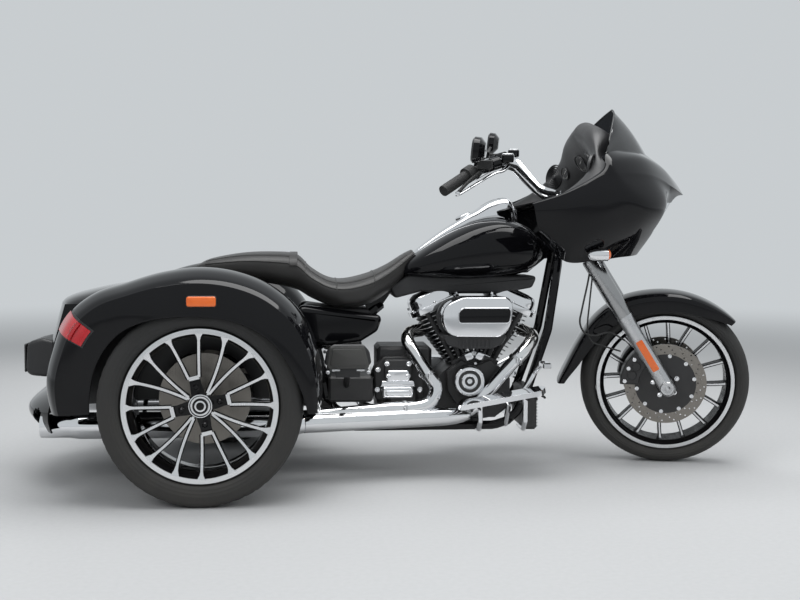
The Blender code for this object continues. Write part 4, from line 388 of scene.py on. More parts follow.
def finishOf(name, colour, other, rough, metallic=0.0, patch=6.0, grain=600.0, bump=0.05, depth=0.0003, cell=False,
             rings=None, coat=0.0, through=0.0, ior=1.5, dust=0.0, tint=None, sheen=0.0):
    # two shades mixed by broad noise, roughness between two values, and a fine grain as bump
    # rings: centre of concentric tool marks; cell: leather-like cells; dust: pale film that settles low down
    # tint: another colour, mixed in between two heights
    material = bpy.data.materials.new(name)
    material.use_nodes = True
    tree, add, blend = nodeMaker(material)
    place = add("ShaderNodeTexCoord").outputs["Object"]
    broad = add("ShaderNodeTexNoise", {"Vector": place, "Scale": patch, "Detail": 4.0,
                                       "Roughness": 0.6}).outputs["Fac"]
    fine = add("ShaderNodeTexNoise", {"Vector": place, "Scale": grain, "Detail": 3.0}).outputs["Fac"]
    shade = blend(broad, colour, other)
    height = fine
    if cell:
        cells = add("ShaderNodeTexVoronoi", {"Vector": place, "Scale": grain, "Randomness": 1.0},
                    feature="DISTANCE_TO_EDGE").outputs["Distance"]
        walls = add("ShaderNodeMapRange", {"Value": cells, "From Max": 0.18}).outputs["Result"]
        folds = add("ShaderNodeTexNoise", {"Vector": place, "Scale": grain / 14, "Detail": 5.0, "Distortion": 0.6})
        height = add("ShaderNodeMath", {0: walls, 1: folds.outputs["Fac"]}, operation="MULTIPLY").outputs[0]
    if rings is not None:
        shift = add("ShaderNodeVectorMath", {0: place, 1: tuple(-x for x in rings)}, operation="ADD").outputs[0]
        reach = add("ShaderNodeVectorMath", {0: shift}, operation="LENGTH").outputs["Value"]
        marks = add("ShaderNodeTexNoise", {"W": reach, "Scale": grain, "Detail": 4.0}, noise_dimensions="1D")
        height = fine = marks.outputs["Fac"]
    films = [(dustColour, 0.0, dustHeight, dust, 0.0)] if dust else []
    films += [(*tint, 0.0, 1.0)] if tint else []
    for colour, bottom, top, atBottom, atTop in films:
        up = add("ShaderNodeSeparateXYZ", {0: place}).outputs["Z"]
        share = add("ShaderNodeMapRange", {"Value": up, "From Min": bottom, "From Max": top,
                                           "To Min": atBottom, "To Max": atTop}).outputs["Result"]
        shade = blend(add("ShaderNodeMath", {0: share, 1: broad}, operation="MULTIPLY").outputs[0], shade, colour)
    mixed = add("ShaderNodeMath", {0: fine, 1: broad}, operation="MULTIPLY").outputs[0]
    roughness = add("ShaderNodeMapRange", {"Value": mixed, "From Min": 0.12, "From Max": 0.42,
                                           "To Min": rough[0], "To Max": rough[1]}).outputs["Result"]
    relief = add("ShaderNodeBump", {"Height": height, "Strength": bump, "Distance": depth}).outputs["Normal"]
    shader = tree.nodes["Principled BSDF"]
    for key, socket in (("Base Color", shade), ("Roughness", roughness), ("Normal", relief)):
        tree.links.new(socket, shader.inputs[key])
    for key, value in (("Metallic", metallic), ("IOR", ior), ("Coat Weight", coat), ("Coat Roughness", 0.03),
                       ("Transmission Weight", through), ("Sheen Weight", sheen)):
        shader.inputs[key].default_value = value
    return material


rearCentre = (axleX, 0, stance["rearRadius"])
frontCentre = tuple(settle(frontHub, "front_wheel")[0])
# name: slot, two shades, roughness from and to, what differs from the usual
finishes = dict(
    glossBlack=("gloss_black", (0.0025, 0.0025, 0.003), (0.004, 0.004, 0.005), (0.03, 0.09),
                dict(patch=3, grain=180, bump=0.02, ior=1.34, dust=0.03)),
    satinBlack=("satin_black", (0.010, 0.010, 0.011), (0.020, 0.020, 0.021), (0.28, 0.45),
                dict(patch=12, grain=900, bump=0.12, dust=0.08)),
    castBlack=("satin_black", (0.012, 0.012, 0.013), (0.026, 0.026, 0.027), (0.42, 0.62),
               dict(patch=18, grain=420, bump=0.35, dust=0.12)),
    blackPlastic=("black_plastic", (0.014, 0.014, 0.015), (0.022, 0.022, 0.023), (0.35, 0.55),
                  dict(patch=8, grain=1300, bump=0.25)),
    chrome=("chrome", (0.78, 0.79, 0.81), (0.90, 0.90, 0.91), (0.03, 0.09),
            dict(metallic=1, patch=5, grain=90, bump=0.012)),
    pipeChrome=("chrome", (0.76, 0.77, 0.79), (0.88, 0.88, 0.88), (0.04, 0.11),
                dict(metallic=1, patch=7, grain=110, bump=0.015, tint=((0.80, 0.68, 0.50), 0.43, 0.60))),
    satinAlloy=("chrome", (0.52, 0.53, 0.54), (0.66, 0.66, 0.67), (0.22, 0.34),
                dict(metallic=1, patch=10, grain=700, bump=0.08)),
    forkSatin=("chrome", (0.34, 0.345, 0.35), (0.44, 0.44, 0.44), (0.16, 0.26),
               dict(metallic=1, patch=8, grain=500, bump=0.05)),
    castAlloy=("chrome", (0.34, 0.35, 0.36), (0.46, 0.46, 0.47), (0.34, 0.50),
               dict(metallic=1, patch=16, grain=500, bump=0.22)),
    cutRearRim=("black_cast_wheel", (0.74, 0.75, 0.76), (0.88, 0.88, 0.89), (0.16, 0.30),
                dict(metallic=1, grain=2600, bump=0.10, rings=rearCentre)),
    cutFrontRim=("black_cast_wheel", (0.66, 0.67, 0.68), (0.80, 0.80, 0.81), (0.18, 0.32),
                 dict(metallic=1, grain=2600, bump=0.10, rings=frontCentre)),
    discSteel=("chrome", (0.21, 0.195, 0.175), (0.31, 0.29, 0.265), (0.26, 0.42),
               dict(metallic=1, grain=3200, bump=0.12, rings=frontCentre)),
    tyreRubber=("tyre", (0.013, 0.013, 0.013), (0.024, 0.0235, 0.023), (0.62, 0.86),
                dict(patch=14, grain=800, bump=0.3, dust=0.13)),
    gripRubber=("grip_rubber", (0.012, 0.012, 0.012), (0.022, 0.022, 0.022), (0.60, 0.78),
                dict(patch=20, grain=1100, bump=0.3)),
    leather=("leather", (0.010, 0.0095, 0.0095), (0.020, 0.019, 0.018), (0.40, 0.58),
             dict(patch=7, grain=520, bump=0.25, depth=0.0004, cell=True, sheen=0.03)),
    redLens=("red_lens", (0.30, 0.002, 0.006), (0.46, 0.006, 0.012), (0.05, 0.12),
             dict(patch=40, grain=500, bump=0.15, coat=0.8)),
    amberLens=("amber_lens", (0.60, 0.085, 0.003), (0.74, 0.15, 0.008), (0.06, 0.14),
               dict(patch=30, grain=420, bump=0.3, coat=0.8)),
    boardGrey=("satin_black", (0.040, 0.040, 0.038), (0.062, 0.061, 0.058), (0.34, 0.50),
               dict(patch=14, grain=900, bump=0.2, dust=0.05)),
    dialMark=("gloss_black", (0.70, 0.70, 0.68), (0.80, 0.80, 0.78), (0.30, 0.45),
              dict(patch=20, grain=900, bump=0.05)),
    clearLens=("clear_lens", (0.90, 0.92, 0.94), (0.96, 0.97, 0.98), (0.01, 0.03),
               dict(patch=4, grain=60, bump=0.01, through=1.0, ior=1.45)),
    smokedScreen=("smoked_screen", (0.030, 0.032, 0.036), (0.044, 0.046, 0.050), (0.01, 0.03),
                  dict(patch=3, grain=60, bump=0.008, through=0.85, ior=1.4)))
materials = {name: finishOf(name, *row[1:4], **row[4]) for name, row in finishes.items()}


studio = dict(eye=(-0.33106, -4.1633, 0.8435), yaw=0.0825, pitch=0.0553, roll=0.0043, focalPixels=1131.73,
              pictureWidth=800, sensor=36.0, backdrop=(0.58, 0.61, 0.63), floor=(0.42, 0.425, 0.43), skyLight=0.75,
              floorRings=40, floorSides=96, floorReach=60, fadeFrom=3.0, fadeTo=11.0, aim=(0.1, 0, 0.5))
# name, place, size, watts
lamps = (("overhead", (0.2, -0.4, 3.8), (5.0, 2.4), 170), ("near", (-2.6, -3.6, 2.6), (2.4, 1.8), 75),
         ("ahead", (3.4, -2.4, 2.2), (1.8, 1.8), 60), ("behind", (-0.6, 3.6, 2.6), (3.0, 1.2), 70))


def makeCamera():
    camera = bpy.data.objects.new("camera", bpy.data.cameras.new("camera"))
    bpy.context.scene.collection.objects.link(camera)
    yaw, pitch, roll = studio["yaw"], studio["pitch"], studio["roll"]
    ahead = Vector((math.sin(yaw) * math.cos(pitch), math.cos(yaw) * math.cos(pitch), -math.sin(pitch)))
    right = Vector((math.cos(yaw), -math.sin(yaw), 0))
    up = right.cross(ahead)
    across = right * math.cos(roll) + up * math.sin(roll)
    over = up * math.cos(roll) - right * math.sin(roll)
    turn = Matrix((across, over, -ahead)).transposed()
    camera.matrix_world = Matrix.Translation(studio["eye"]) @ turn.to_4x4()
    camera.data.sensor_width = studio["sensor"]
    camera.data.lens = studio["focalPixels"] / studio["pictureWidth"] * studio["sensor"]
    bpy.context.scene.camera = camera


def makeStudio():
    # a pale world, a round floor that fades into the backdrop's colour, and four soft lamps
    world.use_nodes = True
    world.node_tree.nodes.clear()
    tree, add, blend = nodeMaker(world)
    light = add("ShaderNodeLightPath").outputs
    seen = add("ShaderNodeMath", {0: light["Is Camera Ray"], 1: light["Is Glossy Ray"]},
               operation="MAXIMUM").outputs[0]
    seen = add("ShaderNodeMath", {0: seen, 1: light["Is Transmission Ray"]}, operation="MAXIMUM").outputs[0]
    strength = add("ShaderNodeMapRange", {"Value": seen, "To Min": studio["skyLight"]}).outputs["Result"]
    sky = add("ShaderNodeBackground", {"Color": (*studio["backdrop"], 1), "Strength": strength}).outputs[0]
    add("ShaderNodeOutputWorld", {0: sky})

    rows, sides = studio["floorRings"], studio["floorSides"]
    points = radial(np.geomspace(0.05, studio["floorReach"], rows)[:, None], roundel(sides))[..., [0, 2, 1]]
    mesh = bpy.data.meshes.new("floor")
    faces = gridFaces(rows, sides, closeColumns=True)[:, ::-1].tolist() + [list(range(sides))]
    mesh.from_pydata(points.reshape(-1, 3).tolist(), [], faces)
    floor = bpy.data.objects.new("floor", mesh)
    bpy.context.scene.collection.objects.link(floor)
    material = bpy.data.materials.new("floor")
    material.use_nodes = True
    tree, add, blend = nodeMaker(material)
    shader = tree.nodes["Principled BSDF"]
    place = add("ShaderNodeTexCoord").outputs["Object"]
    speck = add("ShaderNodeTexNoise", {"Vector": place, "Scale": 60.0, "Detail": 6.0}).outputs["Fac"]
    shades = [tuple(x * share for x in studio["floor"]) for share in (0.94, 1.06)]
    tree.links.new(blend(speck, *shades), shader.inputs["Base Color"])
    shader.inputs["Roughness"].default_value = 0.75
    reach = add("ShaderNodeVectorMath", {0: place}, operation="LENGTH").outputs["Value"]
    fade = add("ShaderNodeMapRange", {"Value": reach, "From Min": studio["fadeFrom"], "From Max": studio["fadeTo"]},
               interpolation_type="SMOOTHSTEP").outputs["Result"]
    glow = add("ShaderNodeEmission", {"Color": (*studio["backdrop"], 1), "Strength": 1.0}).outputs[0]
    surface = add("ShaderNodeMixShader", {0: fade, 1: shader.outputs[0], 2: glow}).outputs[0]
    tree.links.new(surface, tree.nodes["Material Output"].inputs["Surface"])
    mesh.materials.append(material)

    for name, place, size, power in lamps:
        lamp = bpy.data.objects.new(name, bpy.data.lights.new(name, "AREA"))
        bpy.context.scene.collection.objects.link(lamp)
        lamp.data.shape, lamp.data.size, lamp.data.size_y = "RECTANGLE", size[0], size[1]
        lamp.data.energy = power
        lamp.visible_glossy = name == "overhead"
        lamp.location = place
        lamp.rotation_euler = (Vector(studio["aim"]) - Vector(place)).to_track_quat("-Z", "Y").to_euler()
    bpy.context.scene.view_settings.view_transform = "Standard"


# section: rows of (share of the rise from rim to tread, share of the half width)
tyres = dict(
    rear=dict(rim=0.2445, tread=0.319, halfWidth=0.1075, grooves=(-0.62, -0.22, 0.22, 0.62), grooveHalf=0.035,
              grooveDepth=0.0065, blocks=54, sipeHalf=0.10, skew=1.2,
              section=((0.0, 0.80), (0.10, 0.93), (0.28, 0.985), (0.45, 1.0), (0.64, 0.985), (0.80, 0.955),
                       (0.90, 0.90),
                       (0.96, 0.82))),
    front=dict(rim=0.2555, tread=0.3115, halfWidth=0.065, grooves=(-0.5, 0.0, 0.5), grooveHalf=0.05,
               grooveDepth=0.004, blocks=40, sipeHalf=0.12, skew=2.2,
               section=((0.0, 0.76), (0.12, 0.90), (0.30, 0.985), (0.48, 1.0), (0.66, 0.93), (0.78, 0.83),
                        (0.86, 0.74),
                        (0.91, 0.66))))


def tyrePart(kind, hub):
    # sidewall rows mirrored about the middle; between them a crowned tread that drops in grooves and sipes
    t = tyres[kind]
    wall = smooth(t["section"], 4)
    rise = wall[:, 0]
    radius = t["rim"] + rise * (t["tread"] - t["rim"])
    across = wall[:, 1] * t["halfWidth"] + 0.0006 * np.sin(rise * 42) * (rise > 0.12) * (rise < 0.5)
    share = np.linspace(1, -1, 57)[1:-1]
    crown = radius[-1] + (t["tread"] - radius[-1]) * (1 - np.abs(share) ** 2.4)
    turn = roundel(432)[:, None]
    grid = np.repeat(np.concatenate([radius, crown, radius[::-1]])[None], len(turn), 0)
    low, high = len(radius), len(radius) + len(share)
    groove = np.min(np.abs(share[:, None] - np.array(t["grooves"])), 1) < t["grooveHalf"]
    block = turn * t["blocks"] / (2 * np.pi)
    sipe = (np.abs((block + np.abs(share) * t["skew"]) % 1 - 0.5) < t["sipeHalf"]) & (np.abs(share) > 0.3)
    grid[:, low:high] -= t["grooveDepth"] * np.maximum(groove, sipe * 0.8)
    edgeCuts = (np.abs((block[:, 0] + t["skew"]) % 1 - 0.5) < t["sipeHalf"]) * t["grooveDepth"] * 0.5
    for column in (low - 1, low - 2, high, high + 1):
        grid[:, column] -= edgeCuts
    inner, bead = np.full_like(turn, t["rim"] + 0.001), across[0] * 0.96
    grid = np.concatenate([inner, grid, inner], 1)
    across = np.concatenate([[bead], across, share * across[-1], -across[::-1], [-bead]])
    return (radial(grid, turn, across).reshape(-1, 3) + hub,
            [gridFaces(len(turn), grid.shape[1], closeRows=True, closeColumns=True)])


wheels = dict(
    rear=dict(rim=0.2435, half=0.1075, face=0.0855, hubRadius=0.036, firstAngle=12.9, spokeWide=0.0145,
              cutWide=0.0086,
              lip=0.0175, flare=0.0095),
    front=dict(rim=0.2545, half=0.065, face=0.020, hubRadius=0.040, firstAngle=32.0, spokeWide=0.0135, cutWide=0.0060,
               lip=0.015, flare=0.0))
# pairs of spokes in turn with a lug root and a plain one; sections in shares of the spoke's and the cut's width
spokes = dict(pairs=8, steps=12, bow=0.010, tipSpread=math.radians(12.2), lugRoot=(0.37, math.radians(10.5), 1.7),
              plainRoot=(0.185, math.radians(4.5), 1.3), lugCircle=0.060,
              section=((-0.5, 0), (-0.36, 0.16), (0.36, 0.16), (0.5, 0), (0.42, -0.9), (0.22, -1.6), (-0.22, -1.6),
                       (-0.42, -0.9)),
              cut=((-0.5, 0.0), (-0.42, 0.12), (0.42, 0.12), (0.5, 0.0), (0.4, -0.3), (-0.4, -0.3)),
              web=((-1.5, 0), (1.5, 0), (1.3, -1.2), (-1.3, -1.2)))


def spokeRun(w, first, last):
    # a spoke's middle line from one (radius, angle) to another, slightly bowed outwards
    share = np.linspace(0, 1, spokes["steps"])
    radius = first[0] + (last[0] - first[0]) * share
    angle = first[1] + (last[1] - first[1]) * share
    out = (w["face"] - spokes["bow"] * (1 - share) ** 2 * w["face"] / max(w["face"], 0.05)
           - 0.004 * np.sin(np.pi * share) + w["flare"] * share ** 5)
    return radial(radius, angle, out)


def spokeSweep(path, section, sizes):
    # a section along a spoke, its top towards the wheel's face
    return sweep(path, section, np.cross((0, 1, 0), np.gradient(path, axis=0)), sizes)


def wheelParts(kind, outSign):
    # black casting and the strips cut bright on it, about a hub at the origin, face towards +Y or -Y
    w = wheels[kind]
    rim, half, lip, face, hub, wide = w["rim"], w["half"] * 0.9, w["lip"], w["face"], w["hubRadius"], w["spokeWide"]
    well, inner = rim - 0.030, rim - lip
    barrel = [(rim, half), (rim, -half), (inner, -half), (inner - 0.003, -half + 0.006), (well, -half * 0.72),
              (well, half * 0.70), (inner - 0.003, half - 0.007), (inner, half - 0.001)]
    lipCut = [(rim - 0.0015, half - 0.0005), (rim - 0.002, half + 0.0012), (rim - lip * 0.5, half + 0.0016),
              (inner, half + 0.0010), (inner - 0.0008, half - 0.001)]
    body, bright = [lathe(barrel, sides=128, closed=True)], [lathe(lipCut, sides=128, closed=True)]
    section, cut, web = (np.array(spokes[key]) * size for key, size in
                         (("section", wide), ("cut", w["cutWide"]), ("web", wide)))
    lift = np.array([0, 0.16 * wide - 0.0002, 0])
    lugNut = joinParts([boltHead(0.0105, 0.012), upright(((0.0085, 0.011), (0.0080, 0.016), (0.0045, 0.0195),
                                                          (0.0, 0.0205)), 24)])
    for pair in range(spokes["pairs"]):
        middle = math.radians(w["firstAngle"]) + pair * 2 * np.pi / spokes["pairs"]
        lugs = pair % 2 == 0
        root, rootSpread, bridgeCut = spokes["lugRoot" if lugs else "plainRoot"]
        root = rim * root
        ends = []
        for lean in (-1, 1):
            run = spokeRun(w, (root, middle + lean * rootSpread),
                           (inner + 0.003, middle + lean * spokes["tipSpread"]))
            ends.append(run[0])
            body.append(spokeSweep(run, section, np.linspace(1.12, 0.92, len(run))))
            bright.append(spokeSweep(run + lift, cut, np.linspace(1.0, 1.15, len(run))))
            bright.append(spokeSweep(run[-3:] + lift * 0.8, cut, (1.1, 1.7, 3.6)))
        bridge = np.linspace(*ends, 5)
        body.append(spokeSweep(bridge, section, 1.1))
        bright.append(spokeSweep(bridge + lift, cut, bridgeCut))
        if lugs:
            way = radial(1.0, middle)
            line = np.linspace(way * 0.022 + (0, face - 0.014, 0), way * (root + 0.004) + (0, face - 0.016, 0), 4)
            body.append(spokeSweep(line, web, (1.0, 0.95, 0.8, 0.85)))
            body.append(copies(lugNut, way * spokes["lugCircle"] + (0, face - 0.014, 0), (0, 1, 0)))
    body.append(lathe([(hub * 1.15, -0.03), (hub * 1.15, face - 0.012), (hub * 0.8, face - 0.004), (0, face - 0.004)],
                      sides=64))
    return mirrored(joinParts(body), outSign), mirrored(joinParts(bright), outSign)


# bare wheel cap: rows of (share of its radius, rise from its face); rings of (radius, width)
caps = dict(radius=0.0375, rings=((0.0335, 0.0026), (0.0245, 0.0070)),
            steps=((1, 0), (0.97, 0.003), (0.82, 0.004), (0.80, 0.002), (0.62, 0.002), (0.60, 0.0055), (0.30, 0.0075),
                   (0, 0.008)),
            dome=((0.0125, -0.001), (0.0125, 0.0045), (0.010, 0.0062), (0.0, 0.0070)))
brakes = dict(rearPlace=0.086, rearDisc=((0.148, -0.003), (0.148, 0.003), (0.088, 0.003), (0.088, -0.003)),
              rearCarrier=((0.092, -0.002), (0.092, 0.002), (0.030, 0.006), (0.030, -0.006)),
              frontPlace=0.074, outer=0.150, inner=0.104, thickness=0.0045,
              carrier=((0.112, -0.003), (0.112, 0.003), (0.096, 0.0035), (0.050, 0.007), (0.034, 0.007),
                       (0.034, -0.004),
                       (0.096, -0.0035)),
              stud=((0.0075, 0), (0.0075, 0.002), (0.005, 0.003), (0.002, 0.0015), (0, 0.0015)))


def makeWheels():
    for word, sign in bothSides:
        body = "rear_wheel_" + word.lower()
        hub = rearHub + sideways * stance["halfTrack"] * sign
        make("rearTyre" + word, tyrePart("rear", hub), "tyreRubber", body, "rear_tyre_" + word.lower(), 25)
        cast, cut = wheelParts("rear", sign)
        make("rearWheel" + word, moved(cast, hub), "glossBlack", body, body, 30)
        face = wheels["rear"]["face"] + 0.001
        cap = [(caps["radius"], -0.02)] + [(caps["radius"] * share, face - 0.003 + rise) for share,
                                           rise in caps["steps"]]
        out, way = hub + sideways * sign * (face + 0.0005), (0, sign, 0)
        rings = [lathe(((r, -0.002), (r, 0.0032), (r - wide * 0.5, 0.0040), (r - wide, 0.0032), (r - wide, -0.002)),
                       out, way, 64, closed=True) for r, wide in caps["rings"]]
        make("rearCapRings" + word, rings + [lathe(smooth(caps["dome"], 3), out, way)], "glossBlack", body, crease=40)
        make("rearWheelCut" + word, moved(joinParts([cut, mirrored(lathe(cap, sides=72), sign)]), hub), "cutRearRim",
             body,
             crease=30)
        place = hub - sideways * brakes["rearPlace"] * sign
        make("rearDisc" + word, [lathe(brakes["rearDisc"], place, sides=72, closed=True),
                                 lathe(brakes["rearCarrier"], place, closed=True)], "discSteel", body)
    body = "front_wheel"
    make("frontTyre", tyrePart("front", frontHub), "tyreRubber", body, "front_tyre", 25)
    parts, cuts, discs, carriers, studs = [], [], [], [], []
    for sign in (-1, 1):
        cast, cut = wheelParts("front", sign)
        parts.append(moved(cast, frontHub))
        cuts.append(moved(cut, frontHub))
        centre = frontHub + sideways * brakes["frontPlace"] * sign
        discs.append(drilledDisc(centre))
        carriers.append(lathe(brakes["carrier"], centre, sides=60, closed=True))
        for part, count, first, radius, out in ((upright(brakes["stud"], 16), 10, 0.2, 0.106, 0.003),
                                                (boltHead(0.007, 0.007), 5, 0.5, 0.046, 0.007)):
            studs.append(copies(part, centre + radial(radius, roundel(count) + first, out * sign), (0, sign, 0)))
    parts.append(rod(frontHub - sideways * 0.079, frontHub + sideways * 0.079, 0.036))
    make("frontWheel", parts, "glossBlack", body, body, 30)
    make("frontWheelCut", cuts, "cutFrontRim", body, crease=30)
    make("frontDiscs", discs, "discSteel", body, crease=30)
    make("frontDiscCarriers", carriers, "satinBlack", body)
    make("frontDiscStuds", studs, "chrome", body)


def drilledDisc(centre):
    # a flat ring on a grid of angle and radius, its holes left open and walled
    turns, rows, count = 180, 9, 180 * 9
    flat = radial(np.linspace(brakes["inner"], brakes["outer"], rows), roundel(turns)[:, None])
    half = (0, brakes["thickness"] / 2, 0)
    quads = gridFaces(turns, rows, closeRows=True)
    i, j = np.meshgrid(np.arange(turns), np.arange(rows - 1), indexing="ij")
    hole = (((i % 9 == 1) & (j == 2)) | ((i % 9 == 4) & (j == 4)) | ((i % 9 == 7) & (j == 6))).reshape(-1)
    corners = quads[hole]
    after = np.roll(corners, -1, 1)
    walls = np.stack([corners, after, after + count, corners + count], -1)
    walls = np.swapaxes(walls, 0, 1).reshape(-1, 4)
    ring = np.arange(turns) * rows
    later = np.roll(ring, -1)
    edges = [np.stack([ring + k, later + k, later + k + count, ring + k + count], -1) for k in (0, rows - 1)]
    points = np.concatenate([(flat + half).reshape(-1, 3), (flat - half).reshape(-1, 3)]) + centre
    return points, [quads[~hole], quads[~hole][:, ::-1] + count, walls] + edges


fenders = dict(radius=0.427, lipRadius=0.282, inner=0.3855, outer=0.687, wall=0.005)
# angle round the hub in degrees, crown share, lip share, outer share
fenderStations = (
    (-4, 0.876, 1.19, 0.978), (12, 0.905, 1.117, 0.99), (27, 0.944, 1.078, 0.997), (40, 0.98, 1.07, 1.0),
    (58, 1.0, 1.036, 1.0), (76, 0.998, 1.005, 1.0), (91, 0.999, 1.0, 1.0), (106, 1.007, 1.035, 1.0),
    (122, 1.047, 1.115, 0.997), (135, 1.135, 1.18, 0.978), (147, 1.183, 1.21, 0.955), (160, 1.17, 1.22, 0.94),
    (172, 1.164, 1.216, 0.93), (184, 1.12, 1.216, 0.93))
# share of the way across, share of the fall from crown to lip
fenderTop = ((0.0, 0.34), (0.13, 0.13), (0.36, 0.0), (0.64, 0.035), (0.84, 0.17), (0.945, 0.305))
fenderFlank = ((0.945, 0.305), (0.955, 0.34), (0.985, 0.58), (0.998, 0.80), (1.0, 1.0))
# degrees and section shares of the lens and its bed, lift off the fender and wall
tailLens = dict(degrees=(144, 152.5), shares=(0.62, 0.62), lift=0.0035, wall=0.012)
tailBed = dict(degrees=(143.4, 153.1), shares=(0.61, 0.66), lift=0.0012, wall=0.006)
# half length, half height, corner radius, from and to outside the flank, ease
markers = dict(marker=(0.0445, 0.0155, 0.008, 0.0, 0.0125, 0.004),
               markerRim=(0.0465, 0.0175, 0.009, -0.004, 0.004, 0.0015))
marker = dict(x=0.00819, drop=0.235, inset=0.004)
archLiner = dict(shareAtTop=0.34, inset=0.006, foot=0.150, inner=0.390, bulge=0.010, wall=0.003)
plateHolder = ((-0.662, 0.352), (-0.560, 0.343), (-0.550, 0.470), (-0.600, 0.483), (-0.655, 0.470))
deck = dict(half=0.3815, crown=0.012, rear=-0.056, wall=0.005)


def fenderPoint(station, section):
    # radius falls from the crown to the lip as the section goes outwards; angle goes round the hub
    angle, crown, lip, outer = (station[..., k, None] for k in range(4))
    high, low = crown * fenders["radius"], lip * fenders["lipRadius"]
    across = fenders["inner"] + section[:, 0] * (outer * fenders["outer"] - fenders["inner"])
    return radial(high - section[:, 1] * (high - low), np.radians(angle), across) + rearHub


def fenderPatch(degrees, shares):
    stations, section = smooth(fenderStations, 24), smooth(fenderTop[3:] + fenderFlank[1:], 6)
    return fenderPoint(stations[(stations[:, 0] > degrees[0]) & (stations[:, 0] < degrees[1])],
                       section[(section[:, 0] > shares[0]) & (section[:, 1] < shares[1])])


def makeRearBody():
    section = np.vstack([smooth(fenderTop, 6), smooth(fenderFlank, 5)[1:]])
    grid = fenderPoint(smooth(fenderStations, 9), section)
    for word, sign in bothSides:
        parts = [shell(grid, fenders["wall"]), tube(grid[:, -1] - (0, 0.0035, 0), 0.0038, 8)]
        make("rearFender" + word, [mirrored(part, sign) for part in parts], "glossBlack",
             node="rear_fender_" + word.lower(), crease=22)
    # tail lamp: a patch of the fender lifted off it, on a bed, with a pale strip along its middle
    patch = fenderPatch(tailLens["degrees"], tailLens["shares"])
    bed = fenderPatch(tailBed["degrees"], tailBed["shares"])
    middle = patch.shape[1] // 2
    strip = (patch + normals(patch) * 0.0046)[2:-2, middle - 1:middle + 1]
    lens = shell(patch + normals(patch) * tailLens["lift"], tailLens["wall"])
    bed = shell(bed + normals(bed) * tailBed["lift"], tailBed["wall"])
    top, face = stance["rearRadius"] + fenders["radius"] * (1 - marker["drop"]), fenders["outer"] - marker["inset"]
    for word, sign in bothSides:
        make("tailLamp" + word, mirrored(lens, sign), "redLens", node="tail_lamp_" + word.lower())
        make("tailLampBed" + word, mirrored(bed, sign), "blackPlastic")
        make("tailLampStrip" + word, mirrored(shell(strip, 0.002), sign), "clearLens")
        for name, (long, tall, radius, low, high, ease) in markers.items():
            part = slab(oblong(marker["x"] - long, top - tall, marker["x"] + long, top + tall), radius, 6,
                        sign * (face + low), sign * (face + high), ease)
            lensHere = name == "marker"
            make(name + word, part, "amberLens" if lensHere else "blackPlastic",
                 node="marker_lamp_" + word.lower() if lensHere else None)
    # inner wall of each wheel arch
    stations = smooth(fenderStations, 6)
    high, low = stations[:, 1:2] * fenders["radius"], stations[:, 2:3] * fenders["lipRadius"]
    edge = high - archLiner["shareAtTop"] * (high - low) - archLiner["inset"]
    down = np.linspace(0, 1, 9)
    wall = radial(edge + (archLiner["foot"] - edge) * down, np.radians(stations[:, :1]),
                  archLiner["inner"] + archLiner["bulge"] * np.sin(np.pi * down)) + rearHub
    for word, sign in bothSides:
        make("archLiner" + word, mirrored(shell(wall, archLiner["wall"]), sign), "blackPlastic")
    # number plate holder, left bare
    make("plateHolder", slab(plateHolder, 0.034, 10, -0.098, 0.098, 0.014, 8), "blackPlastic", node="plate_bracket",
         crease=40)
    make("plateBed", slab(oblong(-0.088, 0.362, 0.088, 0.462), 0.008, 5, -0.660, -0.6655, 0.0015, plane="yz"),
         "satinBlack")
    # deck between the fenders, ahead of the trunk
    share = np.linspace(1, -1, 33)
    stations = smooth(fenderStations[:7], 8)
    inner = fenderPoint(stations, np.array([[0.0, 0.34]]))
    rise = deck["crown"] * (1 - share ** 2)
    top = inner * (1, 0, 1) + radial(rise, np.radians(stations[:, :1]), share * deck["half"])
    top = np.concatenate([top, top[-1:] * (0, 1, 1) + (deck["rear"], 0, 0)])
    make("rearDeck", shell(top[:, ::-1], deck["wall"]), "glossBlack", node="rear_deck", crease=30)


# levels: rows of (height, how far the rear edge is moved); apron: rows of (share of its fall, share of its bulge);
# lid: rows of (share of the way back, share of the rise)
trunk = dict(front=-0.062, length=0.430, half=0.3815, floor=0.404, rim=0.6196, bulge=0.062, wall=0.005,
             levels=((0.404, -0.010), (0.412, -0.0105), (0.494, -0.006), (0.560, 0.013), (0.6196, 0.030)),
             apron=((0, -0.1), (0.10, 0.0), (0.35, 0.12), (0.62, 0.60), (0.74, 0.72), (0.86, 0.66), (1.0, 0.36)),
             apronRear=-0.5, apronTop=0.4065, apronFall=0.214, apronBulge=0.165, pipeY=0.2925, pipeZ=0.205,
             pipeHole=0.062,
             lid=((0.0, 0.0), (0.0, 0.45), (0.025, 0.72), (0.08, 0.90), (0.30, 1.0), (0.60, 0.90), (0.85, 0.52),
                  (0.96, 0.24),
                  (1.0, 0.0)), lidRise=0.060, lidGap=0.004, lidCorner=0.07)


def trunkOutline(rear, inset, height, count=41):
    # straight front, straight sides, and a rear edge bowed by one less the square of the share across
    front, half = trunk["front"] - inset, trunk["half"] - inset
    share = np.linspace(1, -1, count)
    back = np.stack([rear - trunk["bulge"] * (1 - share ** 2) + inset, half * share], -1)
    return np.column_stack([np.vstack([[(front, -half), (front, half)], back]), np.full(count + 2, height)])


